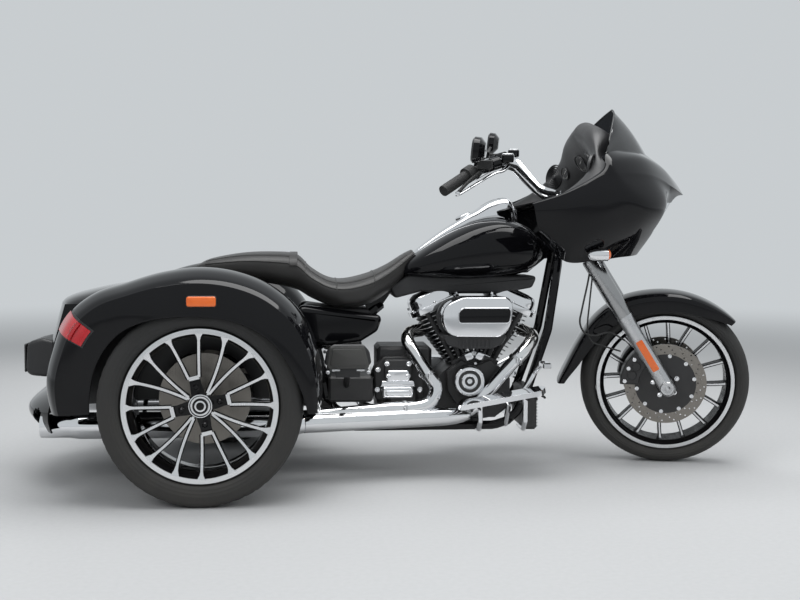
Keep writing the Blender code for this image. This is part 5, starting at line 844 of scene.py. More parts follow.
def makeTrunk():
    t = trunk
    rear = t["front"] - t["length"]
    outside = [trunkOutline(rear + r, 0, z) for z, r in t["levels"]]
    inside = [trunkOutline(rear + r, t["wall"], z) for z, r in t["levels"][::-1]]
    inside[-1][:, 2] = t["floor"] + t["wall"]
    drops = smooth(t["apron"], 5)
    share, out = np.linspace(1, -1, 61), drops[:, 1:]
    bow = (1 - share ** 2) * (t["bulge"] + out * (t["apronBulge"] - t["bulge"])) + out * 0.03
    apron = np.stack(np.broadcast_arrays(t["apronRear"] - bow, share * t["half"],
                                         t["apronTop"] - drops[:, :1] * t["apronFall"]), -1)
    near = (np.abs(apron[..., 1]) - t["pipeY"]) ** 2 + (apron[..., 2] - t["pipeZ"]) ** 2 < t["pipeHole"] ** 2
    part = shell(apron, t["wall"], flip=True, keep=~(near[:-1, :-1] & near[1:, 1:]))  # open round the pipes' tips
    make("trunkTub", [loft(outside + inside), part], "glossBlack", node="trunk_tub", crease=30)
    profile, turn = smooth(t["lid"], 6), np.linspace(0, np.pi / 2, 9)
    across = np.concatenate([[1.0], 1 - (1 - np.cos(turn[1:])) * t["lidCorner"], np.linspace(0.93, -0.93, 33)[1:-1],
                             -1 + (1 - np.sin(turn[:-1])) * t["lidCorner"], [-1.0]])
    lift = np.clip(1 - np.abs(across) ** 14, 0, 1) * (0.62 + 0.38 * (1 - np.abs(across) ** 4))
    back = rear + t["levels"][-1][1] - t["bulge"] * (1 - across ** 2) - t["front"] + t["lidGap"]
    x = t["front"] - t["lidGap"] + profile[:, :1] * back
    z = t["rim"] + 0.0005 + t["lidRise"] * np.clip(profile[:, 1:], 0, 2) * lift
    lid = np.stack(np.broadcast_arrays(x, across * (t["half"] - t["lidGap"]), z), -1)
    make("trunkLid", shell(lid, 0.004, flip=True), "glossBlack", "trunk_lid", "trunk_lid", 30)


# stations: rows of shares of (length, low, high, half width)
tank = dict(rear=0.655, length=0.530, base=0.688, height=0.230, half=0.175)
tankStations = ((0.0, 0.06, 0.20, 0.34), (0.085, 0.03, 0.35, 0.66), (0.235, 0.01, 0.595, 0.86),
                (0.385, 0.0, 0.80, 0.96),
                (0.54, 0.0, 0.945, 1.0), (0.69, 0.03, 1.0, 0.97), (0.82, 0.075, 0.945, 0.86),
                (0.935, 0.16, 0.835, 0.66),
                (1.0, 0.29, 0.705, 0.40))
console = dict(rear=0.700, length=0.400, base=0.700, height=0.300, half=0.055)
consoleStations = ((0.0, 0.18, 0.25, 0.35), (0.06, 0.22, 0.32, 0.6), (0.28, 0.40, 0.545, 0.78),
                   (0.52, 0.58, 0.745, 0.92),
                   (0.62, 0.62, 0.82, 1.0), (0.72, 0.63, 0.91, 1.06), (0.84, 0.62, 0.967, 1.06),
                   (0.93, 0.58, 0.955, 0.95),
                   (1.0, 0.52, 0.83, 0.6))
saddle = dict(rear=-0.056, length=0.768, base=0.588, height=0.213, half=0.200)
saddleStations = ((0.0, 0.66, 0.74, 0.50), (0.06, 0.55, 0.835, 0.70), (0.20, 0.48, 0.925, 0.76),
                  (0.34, 0.40, 0.945, 0.78),
                  (0.45, 0.31, 0.905, 0.78), (0.52, 0.17, 0.68, 0.86), (0.60, 0.05, 0.515, 0.96),
                  (0.68, 0.0, 0.485, 1.0),
                  (0.79, 0.06, 0.58, 0.90), (0.88, 0.25, 0.725, 0.66), (0.96, 0.52, 0.91, 0.47),
                  (1.0, 0.74, 0.985, 0.36))
# welts along the seat by ring point, welts across it by ring; stitches between two ring points
sewing = dict(along=(4, 12, 36, 44), across=(37, 52, 66), stitches=(13.6, 34.4), strapRing=31,
              stitch=((0.0, -0.0022), (0.0009, -0.0014), (0.0009, 0.0014), (0.0, 0.0022)))


def sized(stations, rear, length, base, height, half):
    s = smooth(stations, 8)
    return np.column_stack([rear + s[:, 0] * length, base + s[:, 1] * height, base + s[:, 2] * height,
                            s[:, 3] * half])


def closedEnds(rings, bulge=0.012):
    # rings that shrink to a point beyond each end, along a quarter circle
    def end(ring, after):
        middle = ring.mean(0)
        out = unit(middle - after.mean(0)) * (1, 0, 0)
        return [middle + (ring - middle) * math.cos(t) + out * bulge * math.sin(t)
                for t in np.linspace(0, np.pi / 2, 5)[1:]]
    return np.array(end(rings[0], rings[1])[::-1] + list(rings) + end(rings[-1], rings[-2]))


def makeTank():
    rows = sized(tankStations, **tank)
    make("fuelTank", loft(closedEnds(acrossLoft(rows, 2.6, 96))), "glossBlack", node="fuel_tank", crease=40)
    seam = rows[4:-3]
    line = np.column_stack([seam[:, 0], -seam[:, 3] * 0.93 - 0.001, seam[:, 1] + 0.018])
    make("tankSeam", [tube(line, 0.0022, 8), tube(line * (1, -1, 1), 0.0022, 8)], "glossBlack")
    rings = acrossLoft(sized(consoleStations, **console), 3, 64)
    make("tankConsole", loft(closedEnds(rings, 0.006)), "chrome", node="tank_console", crease=40)


def crowned(rings):
    # broad soft swell of the padding, with a tuck at each lengthwise welt
    middle = rings.mean(1, keepdims=True)
    angle = roundel(rings.shape[1])
    tucks = sum(0.012 * np.exp(-((angle % np.pi - at) / 0.07) ** 2) for at in (0.80, 2.34))
    return middle + (rings - middle) * (1 + 0.018 * np.clip(np.sin(angle), 0, 1) ** 2 - tucks)[None, :, None]


def makeSeat():
    rings = crowned(acrossLoft(sized(saddleStations, **saddle), 3, 96))
    seat = make("seat", loft(closedEnds(rings)), "leather", node="seat", crease=60)
    welts = [tube(rings[6:-6, k], 0.0024, 8, (0, 0, 1)) for k in sewing["along"]]
    welts += [tube(rings[row, 2:47], 0.0022, 8, (1, 0, 0)) for row in sewing["across"]]
    stitches = []
    for k in sewing["stitches"]:
        low = int(k)
        line = smooth(rings[8:-8, low] * (1 - k + low) + rings[8:-8, low + 1] * (k - low), 6)
        gap = np.arange(0, len(line) - 3, 4)
        stitches.append(copies(upright(sewing["stitch"], 6), line[gap], line[gap + 2] - line[gap]))
    make("seatWelts", welts, "leather")
    make("seatStitches", stitches, "satinBlack")
    ring = rings[sewing["strapRing"]]
    band = ring[3:46] + unit(ring[3:46] - ring.mean(0)) * 0.0025
    make("seatStrap", sweep(smooth(band, 2), rounded(oblong(-0.014, -0.0025, 0.014, 0.0025), 0.0018), (1, 0, 0)),
         "leather")


# shares of (length, half width, height), in stations from the wing's rear edge to the nose
fairingBox = dict(rear=1.085, length=0.652, half=0.445, base=0.760, height=0.409, wall=0.005)
fairingStations = (
    ((0.0, 0.90, 0.494), (0.002, 0.915, 0.485), (0.004, 0.92, 0.47), (0.012, 0.92, 0.40), (0.035, 0.87, 0.28),
     (0.077, 0.765, 0.166)),
    ((0.176, 0.945, 0.592), (0.178, 0.965, 0.583), (0.18, 0.975, 0.565), (0.184, 1.0, 0.44), (0.19, 0.93, 0.18),
     (0.20, 0.765, 0.005)),
    ((0.36, 0.90, 0.763), (0.365, 0.925, 0.75), (0.37, 0.94, 0.73), (0.391, 0.99, 0.54), (0.39, 0.93, 0.27),
     (0.376, 0.70, 0.015)),
    ((0.404, 0.80, 0.913), (0.43, 0.865, 0.843), (0.466, 0.90, 0.742), (0.60, 0.89, 0.47), (0.56, 0.764, 0.22),
     (0.514, 0.584, 0.039)),
    ((0.58, 0.50, 0.957), (0.632, 0.60, 0.89), (0.67, 0.69, 0.733), (0.755, 0.66, 0.49), (0.70, 0.54, 0.24),
     (0.637, 0.404, 0.054)),
    ((0.725, 0.23, 0.946), (0.808, 0.30, 0.828), (0.865, 0.36, 0.649), (0.817, 0.35, 0.543), (0.761, 0.28, 0.27),
     (0.70, 0.20, 0.073)),
    ((0.802, 0.0, 0.938), (0.927, 0.0, 0.767), (1.0, 0.0, 0.604), (0.941, 0.0, 0.557), (0.832, 0.0, 0.272),
     (0.717, 0.0, 0.079)))
dashStations = (
    ((0.56, 0.0, 0.70), (0.485, 0.0, 0.84), (0.415, 0.0, 0.99), (0.355, 0.0, 1.15), (0.40, 0.0, 1.245),
     (0.48, 0.0, 1.225), (0.64, 0.0, 1.03)),
    ((0.49, 0.36, 0.67), (0.425, 0.36, 0.80), (0.385, 0.37, 0.92), (0.36, 0.38, 1.06), (0.40, 0.38, 1.145),
     (0.48, 0.37, 1.115), (0.57, 0.34, 1.0)),
    ((0.30, 0.66, 0.58), (0.33, 0.66, 0.68), (0.345, 0.66, 0.78), (0.355, 0.65, 0.86), (0.37, 0.64, 0.92),
     (0.39, 0.62, 0.935), (0.42, 0.58, 0.91)))
screenTops = ((0.447, 0.62, 1.03), (0.515, 0.36, 1.229), (0.554, 0.18, 1.32), (0.576, 0.0, 1.369))
# grid cells of the lamp opening; bowl and bulb as (radius, along)
headlamp = dict(row=32, column=25, lastColumn=32, bedDepth=0.048, place=(1.610, 0.062, 0.930), way=(0.97, 0.22, 0.05),
                bowl=((0.0, -0.030), (0.012, -0.029), (0.026, -0.021), (0.037, -0.004), (0.0405, 0.004),
                      (0.0425, 0.004),
                      (0.0425, 0.0), (0.039, -0.008), (0.020, -0.034), (0.0, -0.036)),
                bulb=((0.0, -0.004), (0.007, -0.006), (0.010, -0.012), (0.009, -0.022), (0.007, -0.030)))


def inFairing(shares):
    f = fairingBox
    return np.asarray(shares, float) * (f["length"], f["half"], f["height"]) + (f["rear"], 0, f["base"])


def mirroredGrid(half):
    # a grid that ends on the middle line, carried on to the other side
    return np.concatenate([half * (1, -1, 1), half[::-1][1:]])


def fairingGrid():
    # each station runs from the top edge over the beak's crease to the bottom
    half = np.swapaxes(smooth(inFairing(fairingStations), 8), 0, 1)
    half = np.swapaxes(np.concatenate([smooth(half[:3], 8), smooth(half[2:], 8)[1:]]), 0, 1)
    half[-1, :, 1] = 0
    return mirroredGrid(half)


def makeFairing():
    grid = fairingGrid()
    h = headlamp
    rows, columns = grid.shape[:2]
    i, j = np.meshgrid(np.arange(rows - 1), np.arange(columns - 1), indexing="ij")
    lampCells = (i >= h["row"]) & (i < rows - h["row"] - 1) & (j >= h["column"]) & (j < h["lastColumn"])
    make("fairing", shell(grid, fairingBox["wall"], keep=~lampCells), "glossBlack", node="fairing", crease=35)
    lens = grid[h["row"]:rows - h["row"], h["column"]:h["lastColumn"] + 1]
    out = normals(lens)
    make("headlamp", shell(lens - out * 0.002, 0.003), "clearLens", node="headlamp")
    make("headlampBed", shell(lens - out * h["bedDepth"], 0.004), "blackPlastic")
    for name, profile, sides, finish in (("headlampBowls", "bowl", 64, "chrome"),
                                         ("headlampBulbs", "bulb", 32, "satinAlloy")):
        make(name, [lathe(smooth(h[profile], 3), np.array(h["place"]) * (1, sign, 1),
                          np.array(h["way"]) * (1, sign, 1), sides)
                    for sign in (-1, 1)], finish, crease=40)
    # screen: from just inside the fairing's top edge up to its crest, bowed outwards
    at = 24 + 8 * np.arange(4)
    edge = grid[at, 0]
    down = unit(grid[at, 8] - edge)
    outward = unit(np.cross(grid[at + 1, 0] - grid[at - 1, 0], down))
    outward = outward * np.sign(outward[:, :1])
    foot = (edge - outward * 0.010)[:, None]
    crest = (inFairing(screenTops) * (1, -1, 1))[:, None]
    t = np.linspace(0, 1, 17)[None, :, None]
    rise = foot * (1 - t) + crest * t + outward[:, None] * 0.0108 * np.sin(np.pi * t)
    rise = smooth(np.concatenate([foot + down[:, None] * 0.006, rise], 1), 8)
    rise[-1, :, 1] = 0
    screen = mirroredGrid(rise * (1, -1, 1))
    make("windshield", shell(screen, 0.004, flip=True), "smokedScreen", node="windshield")
    # dashboard: its stations, then points just inside the fairing's top edge
    at = np.round(np.arange(7) * 0.4 * 8).astype(int)
    edges = grid[at, 0] - normals(grid)[at, 2] * 0.0075 + unit(grid[at, 2] - grid[at, 0]) * 0.005
    half = smooth(np.concatenate([inFairing(dashStations) * (1, -1, 1), edges[None]]), 8)
    half = np.swapaxes(smooth(np.swapaxes(half, 0, 1), 6), 0, 1)
    half[0, :, 1] = 0
    dash = mirroredGrid(half[::-1] * (1, -1, 1))
    make("dashboard", shell(dash, 0.008), "blackPlastic", node="dashboard", crease=40)
    makeGauges(dash)
    make("screenEdge", tube(screen[:, -1], 0.0026, 8, (0, 0, 1)), "blackPlastic")


# dials: rows from the middle and radius; places are shares of the dash's grid
gauges = dict(dials=((4, 0.036), (-4, 0.036), (11, 0.026), (-11, 0.026)), dialColumn=0.26, speakerRow=0.34,
              speakerColumn=0.36,
              bezel=((1.0, -0.006), (1.0, 0.003), (0.96, 0.006), (0.90, 0.006), (0.86, 0.003), (0.85, 0.001),
                     (0.0, 0.001)),
              speakerRings=(0.050, 0.042, 0.034, 0.026, 0.018),
              dome=((0.012, -0.002), (0.011, 0.004), (0.006, 0.0075), (0.0, 0.0085)))


def makeGauges(dash):
    # round dials and two speakers set on the dash, each along the surface's own direction
    rows, columns = dash.shape[:2]
    middle, out, g = rows // 2, normals(dash), gauges
    out = out * (1 if out[middle, columns // 4, 0] < 0 else -1)
    bezels, faces, needles, speakers = [], [], [], []
    for offset, radius in g["dials"]:
        row, column = middle + offset, int(columns * g["dialColumn"])
        place, way = dash[row, column], out[row, column]
        bezels.append(lathe(smooth(g["bezel"], 3) * (radius, 1), place, way))
        faces.append(lathe(((radius * 0.84, 0.0005), (radius * 0.84, 0.0025), (0.0, 0.003)), place, way))
        axis, first, second = basis(way)
        pin = place + way * 0.0045
        needles.append(tube([pin - first * radius * 0.15, pin + (first + second * 0.7) * radius * 0.55], 0.0009, 6,
                            axis))
        turn = np.linspace(0.6, 5.6, 22)[:, None]
        marks = place + way * 0.003 + (first * np.cos(turn) + second * np.sin(turn)) * radius * 0.74
        needles.append(copies(upright(((0.0008, 0), (0.0008, 0.0006), (0, 0.0007)), 6), marks, way))
    for side in (-1, 1):
        row, column = middle + side * int(rows * g["speakerRow"]), int(columns * g["speakerColumn"])
        place, way = dash[row, column], out[row, column]
        speakers += [lathe(((r, -0.004), (r, 0.004), (r - 0.0022, 0.0055), (r - 0.0044, 0.004), (r - 0.0044, -0.004)),
                           place, way, closed=True) for r in g["speakerRings"]]
        speakers.append(lathe(g["dome"], place, way, 32))
    make("dials", bezels, "satinBlack")
    make("dialFaces", faces, "blackPlastic")
    make("dialMarks", needles, "dialMark")
    make("speakers", speakers, "satinBlack")


# stations: angle in degrees, then shares of crown radius, half width and edge radius
frontFender = dict(radius=0.345, half=0.080, wall=0.004,
                   stations=((44, 1.0, 0.80, 0.93), (60, 0.99, 1.0, 0.84), (80, 0.99, 1.0, 0.80),
                             (100, 1.0, 1.0, 0.79),
                             (120, 1.03, 1.0, 0.82), (138, 1.04, 1.0, 0.85), (155, 1.04, 0.98, 0.88),
                             (170, 1.08, 0.95, 0.95),
                             (182, 1.16, 0.92, 1.08)),
                   flank=((-1, 1), (-1.0, 0.62), (-0.985, 0.36), (-0.93, 0.20)),
                   top=((-0.93, 0.20), (-0.74, 0.075), (-0.45, 0.02), (0, 0), (0.45, 0.02), (0.74, 0.075),
                        (0.93, 0.20)))


def makeFrontFender():
    f = frontFender
    s, flank = smooth(f["stations"], 8), smooth(f["flank"], 5)
    section = np.vstack([flank, smooth(f["top"], 5)[1:], (flank[::-1] * (-1, 1))[1:]])
    crown, low = s[:, 1:2] * f["radius"], s[:, 3:4] * f["radius"]
    grid = radial(crown - section[:, 1] * (crown - low), np.radians(s[:, :1]),
                  section[:, 0] * s[:, 2:3] * f["half"]) + frontHub
    parts = [shell(grid, f["wall"])]
    for sign in (-1, 1):
        leg = legPlace(frontHub[2] + 0.262, sign)
        parts.append(rod((leg[0] - 0.03, sign * 0.078, leg[2]), leg, 0.010))
    make("frontFender", parts, "glossBlack", "steering", "front_fender", 30)


fork = dict(shoulder=0.310, coverTop=0.778, tubeTop=0.953, tubeRadius=0.0245, reflectorAt=0.078,
            slider=((0.0, -0.036), (0.018, -0.034), (0.0285, -0.020), (0.0295, 0.0), (0.0290, 0.06), (0.0285, 0.27),
                    (0.0300, 0.285), (0.0315, 0.300), (0.0315, 0.306), (0.030, 0.310), (0, 0.310)),
            boss=((0.0, -0.026), (0.024, -0.026), (0.0255, -0.020), (0.0255, 0.030), (0.023, 0.0335), (0.016, 0.0335),
                  (0.015, 0.029), (0, 0.029)))


def makeFork():
    for word, sign in bothSides:
        axle = legPlace(frontHub[2], sign)
        shoulder = axle + legAxis * fork["shoulder"]
        length = np.linalg.norm(legPlace(fork["coverTop"], sign) - shoulder)
        make("forkSlider" + word, [lathe(fork["slider"], axle, legAxis),
                                   lathe(fork["boss"], axle, sideways * sign, 40)],
             "satinAlloy", "steering", "fork_leg_" + word.lower())
        cover = [(0.0, -0.004), (0.0305, -0.004), (0.0318, 0.0), (0.0318, length - 0.004), (0.030, length)]
        make("forkCover" + word, [lathe(cover, shoulder, legAxis),
                                  rod(shoulder, legPlace(fork["tubeTop"], sign), fork["tubeRadius"], sides=32)],
             "forkSatin", "steering")
        points, faces = slab(oblong(-0.013, 0.0, 0.013, 0.127), 0.005, 6, 0, 0.005, 0.0015, plane="xy")
        turn = np.stack([np.cross(legAxis, sideways), legAxis, sideways * sign])
        place = axle + legAxis * fork["reflectorAt"] + sideways * sign * 0.0285 * 0.97
        make("forkReflector" + word, (points @ turn + place, faces), "amberLens", "steering")


bar = dict(radius=0.0155, half=0.440, rise=0.114, sweep=0.305, forward=1.185, height=1.020, clamp=0.925,
           shares=((0.25, 0.0, -0.16), (0.24, 0.10, -0.16), (0.10, 0.20, -0.08), (0.0, 0.25, 0.05),
                   (-0.27, 0.47, 0.84),
                   (-0.42, 0.60, 1.0), (-0.69, 0.74, 0.78), (-1.0, 1.0, 0.22)))
barPath = np.array(bar["shares"]) * (bar["sweep"], bar["half"], bar["rise"]) + (bar["forward"], 0, bar["height"])


def makeBar():
    path = np.concatenate([barPath[::-1] * (1, -1, 1), barPath[1:]])
    parts = [tube(arcs(path, 0.06, 8), bar["radius"], 28, (0.3, 0.2, 1))]
    yoke = neckPlace(bar["clamp"])
    for sign in (-1, 1):
        foot = yoke + (legPlace(bar["clamp"], sign) - yoke) * 0.4
        parts.append(rod((barPath[0][0], foot[1], barPath[0][2]), foot, bar["radius"] * 1.25))
    make("handlebar", parts, "chrome", "steering", "handlebar", 40)


# two brake hoses as the picture has them (route, radius), and the calliper's arcs round the front hub in degrees
cables = ((((1.375, -0.075, 0.790), (1.350, -0.115, 0.690), (1.3250, -0.132, 0.590), (1.3158, -0.138, 0.5370),
            (1.3354, -0.138, 0.4995), (1.3765, -0.132, 0.4901), (1.430, -0.124, 0.500), (1.490, -0.112, 0.470)),
            0.0034),
          (((1.385, -0.070, 0.790), (1.366, -0.110, 0.700), (1.352, -0.128, 0.600), (1.346, -0.130, 0.520),
            (1.362, -0.126, 0.470), (1.410, -0.120, 0.450), (1.475, -0.110, 0.430)), 0.0030))
calliper = dict(face=0.108, plate=(0.100, 0.168, 116, 180), bridge=(0.1575, 0.168, 120, 176), boreRadius=0.130,
                bores=(132, 148, 164), bore=((0.016, -0.002), (0.016, 0.003), (0.0145, 0.0045), (0.0, 0.0045)),
                boltRadius=0.152, bolts=(121, 141, 156, 175))
fillerCap = ((0.031, -0.006), (0.031, 0.004), (0.0295, 0.008), (0.024, 0.0105), (0.012, 0.0125), (0.0, 0.013))


def arcOutline(inner, outer, first, last):
    ring = radial(1.0, np.radians(np.linspace(first, last, 20)))[:, [0, 2]]
    return rounded(np.vstack([ring * outer, ring[::-1] * inner]), 0.004, 3) + frontHub[[0, 2]]


def makeControls():
    hoses = [tube(smooth(unturn(route), 8), radius, 12) for route, radius in cables]
    make("forkCables", hoses, "gripRubber", "steering")
    c = calliper
    for word, sign in bothSides:
        out = (0, sign, 0)
        block = [prism(arcOutline(*c["plate"]), sign * 0.083, sign * c["face"], 0.004, 4),
                 prism(arcOutline(*c["bridge"]), sign * 0.048, sign * 0.100, 0.003, 3)]
        block += [lathe(c["bore"], frontHub + radial(c["boreRadius"], angle, sign * c["face"]), out, 32)
                  for angle in np.radians(c["bores"])]
        make("calliper" + word, block, "satinBlack", "steering", "calliper_" + word.lower(), 35)
        spots = frontHub + radial(c["boltRadius"], np.radians(c["bolts"]), sign * c["face"])
        make("calliperBolts" + word, copies(capScrew(0.0078, 0.006), spots, out), "chrome", "steering")
        # lever, its perch and reservoir, switch housing and the hose beside the bar
        start, middle, end = barPath[5:8] * (1, sign, 1)
        lever = smooth([start + (0.030, 0, -0.014), (start + middle) / 2 + (0.050, 0, -0.018),
                        middle + (0.058, 0, -0.016),
                        end + (0.052, 0, -0.012), end + (0.046, sign * 0.012, -0.010)], 6)
        ball = lathe(((0.0, -0.006), (0.0075, -0.005), (0.0075, 0.005), (0.0, 0.006)), lever[-1], (0.3, sign, 0), 16)
        blade = sweep(lever, oval(0.0040, 0.0075, 2.6, 16), (0, 0, 1), np.linspace(1.3, 0.8, len(lever)))
        make("lever" + word, [blade, ball], "chrome", "steering", crease=40)
        way = unit(middle - start)
        x, y, z = start
        perch = [rod(start + way * 0.004, start + way * 0.040, 0.0225),
                 rod(start + way * 0.046, start + way * 0.078, 0.0235, 0.0215),
                 slab(oblong(x + 0.006, y - 0.026, x + 0.050, y + 0.026), 0.010, 5, z, z + 0.028, 0.005, 4, "xy")]
        make("perch" + word, perch, "glossBlack", "steering", crease=35)
        lid = slab(oblong(x + 0.009, y - 0.023, x + 0.047, y + 0.023), 0.009, 5, z + 0.026, z + 0.0315, 0.0015,
                   plane="xy")
        make("perchLid" + word, lid, "chrome", "steering", crease=35)
        hose = smooth(barPath[5:0:-1] * (1, sign, 1) + (0.010, 0, -0.019), 8)
        make("barHose" + word, tube(hose, 0.0042, 12, (1, 0, 0.3)), "gripRubber", "steering")
    make("fillerCap", lathe(smooth(fillerCap, 3), (0.905, 0, 0.919), (-0.43, 0, 0.90)), "chrome", crease=40)


# fins: rows of (rise, inset); head: rows of (rise, share of the half length and depth)
engine = dict(crankX=0.935, crankZ=0.285, bank=math.radians(24), deck=0.120, barrel=0.140, head=0.070, fins=13,
              fin=((-0.0020, 0.002), (-0.0016, 0.0006), (0.0016, 0.0006), (0.0020, 0.002)),
              finEdge=((-0.0017, 0.001), (-0.0013, 0), (0.0013, 0), (0.0017, 0.001)),
              rocker=((0.0, 1.0), (0.018, 1.0), (0.021, 0.985), (0.0225, 0.93), (0.0235, 0.90), (0.045, 0.885),
                      (0.058, 0.85),
                      (0.066, 0.78), (0.0715, 0.64)), rockerLong=0.098, rockerDeep=0.100,
              rockerBolts=((-0.086, -0.088), (-0.086, 0.088), (0.086, -0.088), (0.086, 0.088), (0, -0.091),
                           (0, 0.091)))
crank = np.array([engine["crankX"], 0, engine["crankZ"]])


def bankAxes(sign):
    a = engine["bank"]
    return np.array([math.sin(a) * sign, 0, math.cos(a)]), np.array([math.cos(a) * sign, 0, -math.sin(a)])


def bankRing(sign, rise, halfLong, halfDeep, power=4, count=48):
    # a squarish oval across a bank's axis at a rise from the crank
    along, across = bankAxes(sign)
    flat = oval(halfDeep, halfLong, power, count)
    return crank + along * rise + sideways * flat[:, :1] + across * flat[:, 1:]


def makeCylinders():
    e = engine
    top = e["deck"] + e["barrel"] + e["head"]

    def halves(rise):
        share = np.clip((rise - e["deck"]) / e["barrel"], 0, 1)
        return 0.046 + share * 0.034, 0.060 + share * 0.024

    for sign, word in ((-1, "Rear"), (1, "Front")):
        core = loft([bankRing(sign, r, halves(r)[0] - 0.014, halves(r)[1] - 0.014, 3)
                     for r in np.linspace(e["deck"] + 0.004, top, 9)])
        fins = {kind: [loft([bankRing(sign, rise + up, halves(rise)[0] - inset, halves(rise)[1] - inset) for up,
                             inset in e[kind]])
                       for rise in np.linspace(e["deck"] + 0.010, top - 0.004, e["fins"])]
                       for kind in ("fin", "finEdge")}
        make("cylinder" + word, [core] + fins["fin"], "castBlack", node="cylinder_" + word.lower(), crease=40)
        make("finEdges" + word, fins["finEdge"], "satinAlloy", crease=40)
        base = top + 0.001
        cover = loft([bankRing(sign, base + rise, e["rockerLong"] * share, e["rockerDeep"] * share, 4, 72)
                      for rise, share in smooth(e["rocker"], 3)])
        along, across = bankAxes(sign)
        long = np.array(e["rockerBolts"])
        bolts = crank + along * (base + 0.019) + across * long[:, :1] + sideways * long[:, 1:]
        make("rockerCover" + word, cover, "chrome", node="rocker_cover_" + word.lower(), crease=40)
        make("rockerBolts" + word, copies(capScrew(0.0055, 0.008), bolts, along), "chrome")


airCleaner = dict(x=0.7922, z=0.493, length=0.255, height=0.145, back=-0.178, face=-0.2835, easeDepth=0.013,
                  outline=((0.0, 0.52), (0.07, 0.82), (0.30, 1.0), (0.93, 1.0), (1.0, 0.80), (0.97, 0.30),
                           (0.84, 0.02),
                           (0.16, 0.04), (0.04, 0.22)),
                  band=((0.853, 0.5475), (1.030, 0.5475), (1.036, 0.572), (1.036, 0.599), (0.868, 0.599),
                        (0.853, 0.585)),
                  intake=((0.797, 0.505), (1.034, 0.505), (1.012, 0.470), (0.975, 0.4545), (0.855, 0.4545),
                          (0.812, 0.470)))


def flatLoft(outline, levels):
    # an outline in the x-z plane carried sideways: rows of (y, share of its size about its middle)
    middle = (outline.min(0) + outline.max(0)) / 2
    levels = np.asarray(levels, float)
    flat = middle + (outline - middle)[None] * levels[:, 1][:, None, None]
    return loft(np.stack([flat[..., 0], np.broadcast_to(levels[:, :1], flat.shape[:2]), flat[..., 1]], -1))


def makeAirCleaner():
    a = airCleaner
    back, face, shape = a["back"], a["face"], np.array(a["outline"])
    front = face + 0.016
    levels = [(back, 0.985), (back - 0.003, 1.0)] + [(back - 0.003 + (front - back + 0.003) * t, 1.0)
                                                     for t in (0.35, 0.7)]
    levels += [(front - a["easeDepth"] * math.sin(t), 1 - 0.075 * (1 - math.cos(t)))
               for t in np.linspace(0, np.pi / 2, 9)]
    levels += [(face + 0.0018, 0.80), (face + 0.0010, 0.50), (face + 0.0008, 0.1)]
    cover = rounded(shape * (a["length"], a["height"]) + (a["x"], a["z"]), 0.065, 8)
    make("airCleaner", flatLoft(cover, levels), "chrome", node="air_cleaner", crease=40)
    plate = rounded(shape * (a["length"] * 0.98, a["height"] * 1.03) + (a["x"] - 0.006, a["z"] - 0.006), 0.06, 6)
    make("airBackplate", flatLoft(plate, [(-0.085, 0.9), (-0.110, 0.96), (back - 0.002, 1.0), (back - 0.004, 0.99)]),
         "castBlack")
    band = rounded(a["band"], 0.013, 6)
    line = np.column_stack([band[:, 0], np.full(len(band), face - 0.0004), band[:, 1]])
    make("airBandFrame", tube(np.vstack([line, line[:1]]), 0.0021, 10), "chrome")
    make("airBand", flatLoft(band, [(face + 0.002, 0.99), (face - 0.0004, 0.985), (face - 0.0008, 0.97)]),
         "glossBlack")
    make("airIntake", flatLoft(rounded(a["intake"], 0.012, 6),
                               [(-0.120, 0.92), (-0.132, 0.99), (-0.250, 0.99), (-0.262, 0.94), (-0.264, 0.90)]),
         "blackPlastic", crease=40)
    ribs = [flatLoft(rounded(oblong(x, 0.462, x + 0.006, 0.488), 0.002, 3),
                     [(-0.262, 1.0), (-0.2665, 1.0), (-0.2675, 0.9)])
            for x in np.linspace(0.855, 0.965, 9)]
    make("airIntakeRibs", ribs, "blackPlastic")


camCover = dict(place=(-0.028, -0.180, 0.0475), bolts=6,
                steps=((0.0545, 0.0), (0.0545, 0.006), (0.052, 0.010), (0.047, 0.0125), (0.0405, 0.0115),
                       (0.0385, 0.008),
                       (0.031, 0.0075), (0.029, 0.011), (0.024, 0.0135), (0.018, 0.013), (0.0165, 0.010),
                       (0.010, 0.0098),
                       (0.0085, 0.0118), (0.0, 0.0125)))
pushrods = dict(offsets=(-0.052, -0.022), low=(0.118, -0.092), high=(0.338, -0.078), collars=(0.04, 0.36, 0.97),
                collar=((0.0085, -0.009), (0.0125, -0.007), (0.0125, 0.007), (0.0085, 0.009)))
# rows for slab(): outline, corner radius and cuts, from y, to y, ease, steps
coilCover = (((0.622, 0.668), (0.705, 0.712), (1.170, 0.706), (1.150, 0.662), (1.030, 0.640), (0.870, 0.640),
              (0.745, 0.648),
              (0.645, 0.622)), 0.018, 6, -0.088, 0.088, 0.012, 6)
gearboxFlange = ((((0.571, 0.262), (0.742, 0.262), (0.748, 0.330), (0.735, 0.398), (0.700, 0.418), (0.602, 0.418),
                   (0.570, 0.380)), 0.018, 6, -0.092, -0.152, 0.006, 4),
                 (oblong(0.603, 0.340, 0.699, 0.410), 0.010, 5, -0.140, -0.182, 0.005, 4))
gearboxCover = ((oblong(0.594, 0.274, 0.706, 0.316), 0.013, 6, -0.145, -0.2000, 0.009, 6),
                (((0.587, 0.314), (0.713, 0.314), (0.708, 0.336), (0.592, 0.336)), 0.006, 5, -0.145, -0.1900, 0.005,
                 5),
                (((0.608, 0.334), (0.694, 0.334), (0.690, 0.374), (0.612, 0.374)), 0.010, 6, -0.145, -0.1940, 0.007,
                 6),
                (oblong(0.606, 0.284, 0.694, 0.303), 0.008, 5, -0.198, -0.2035, 0.003, 4))
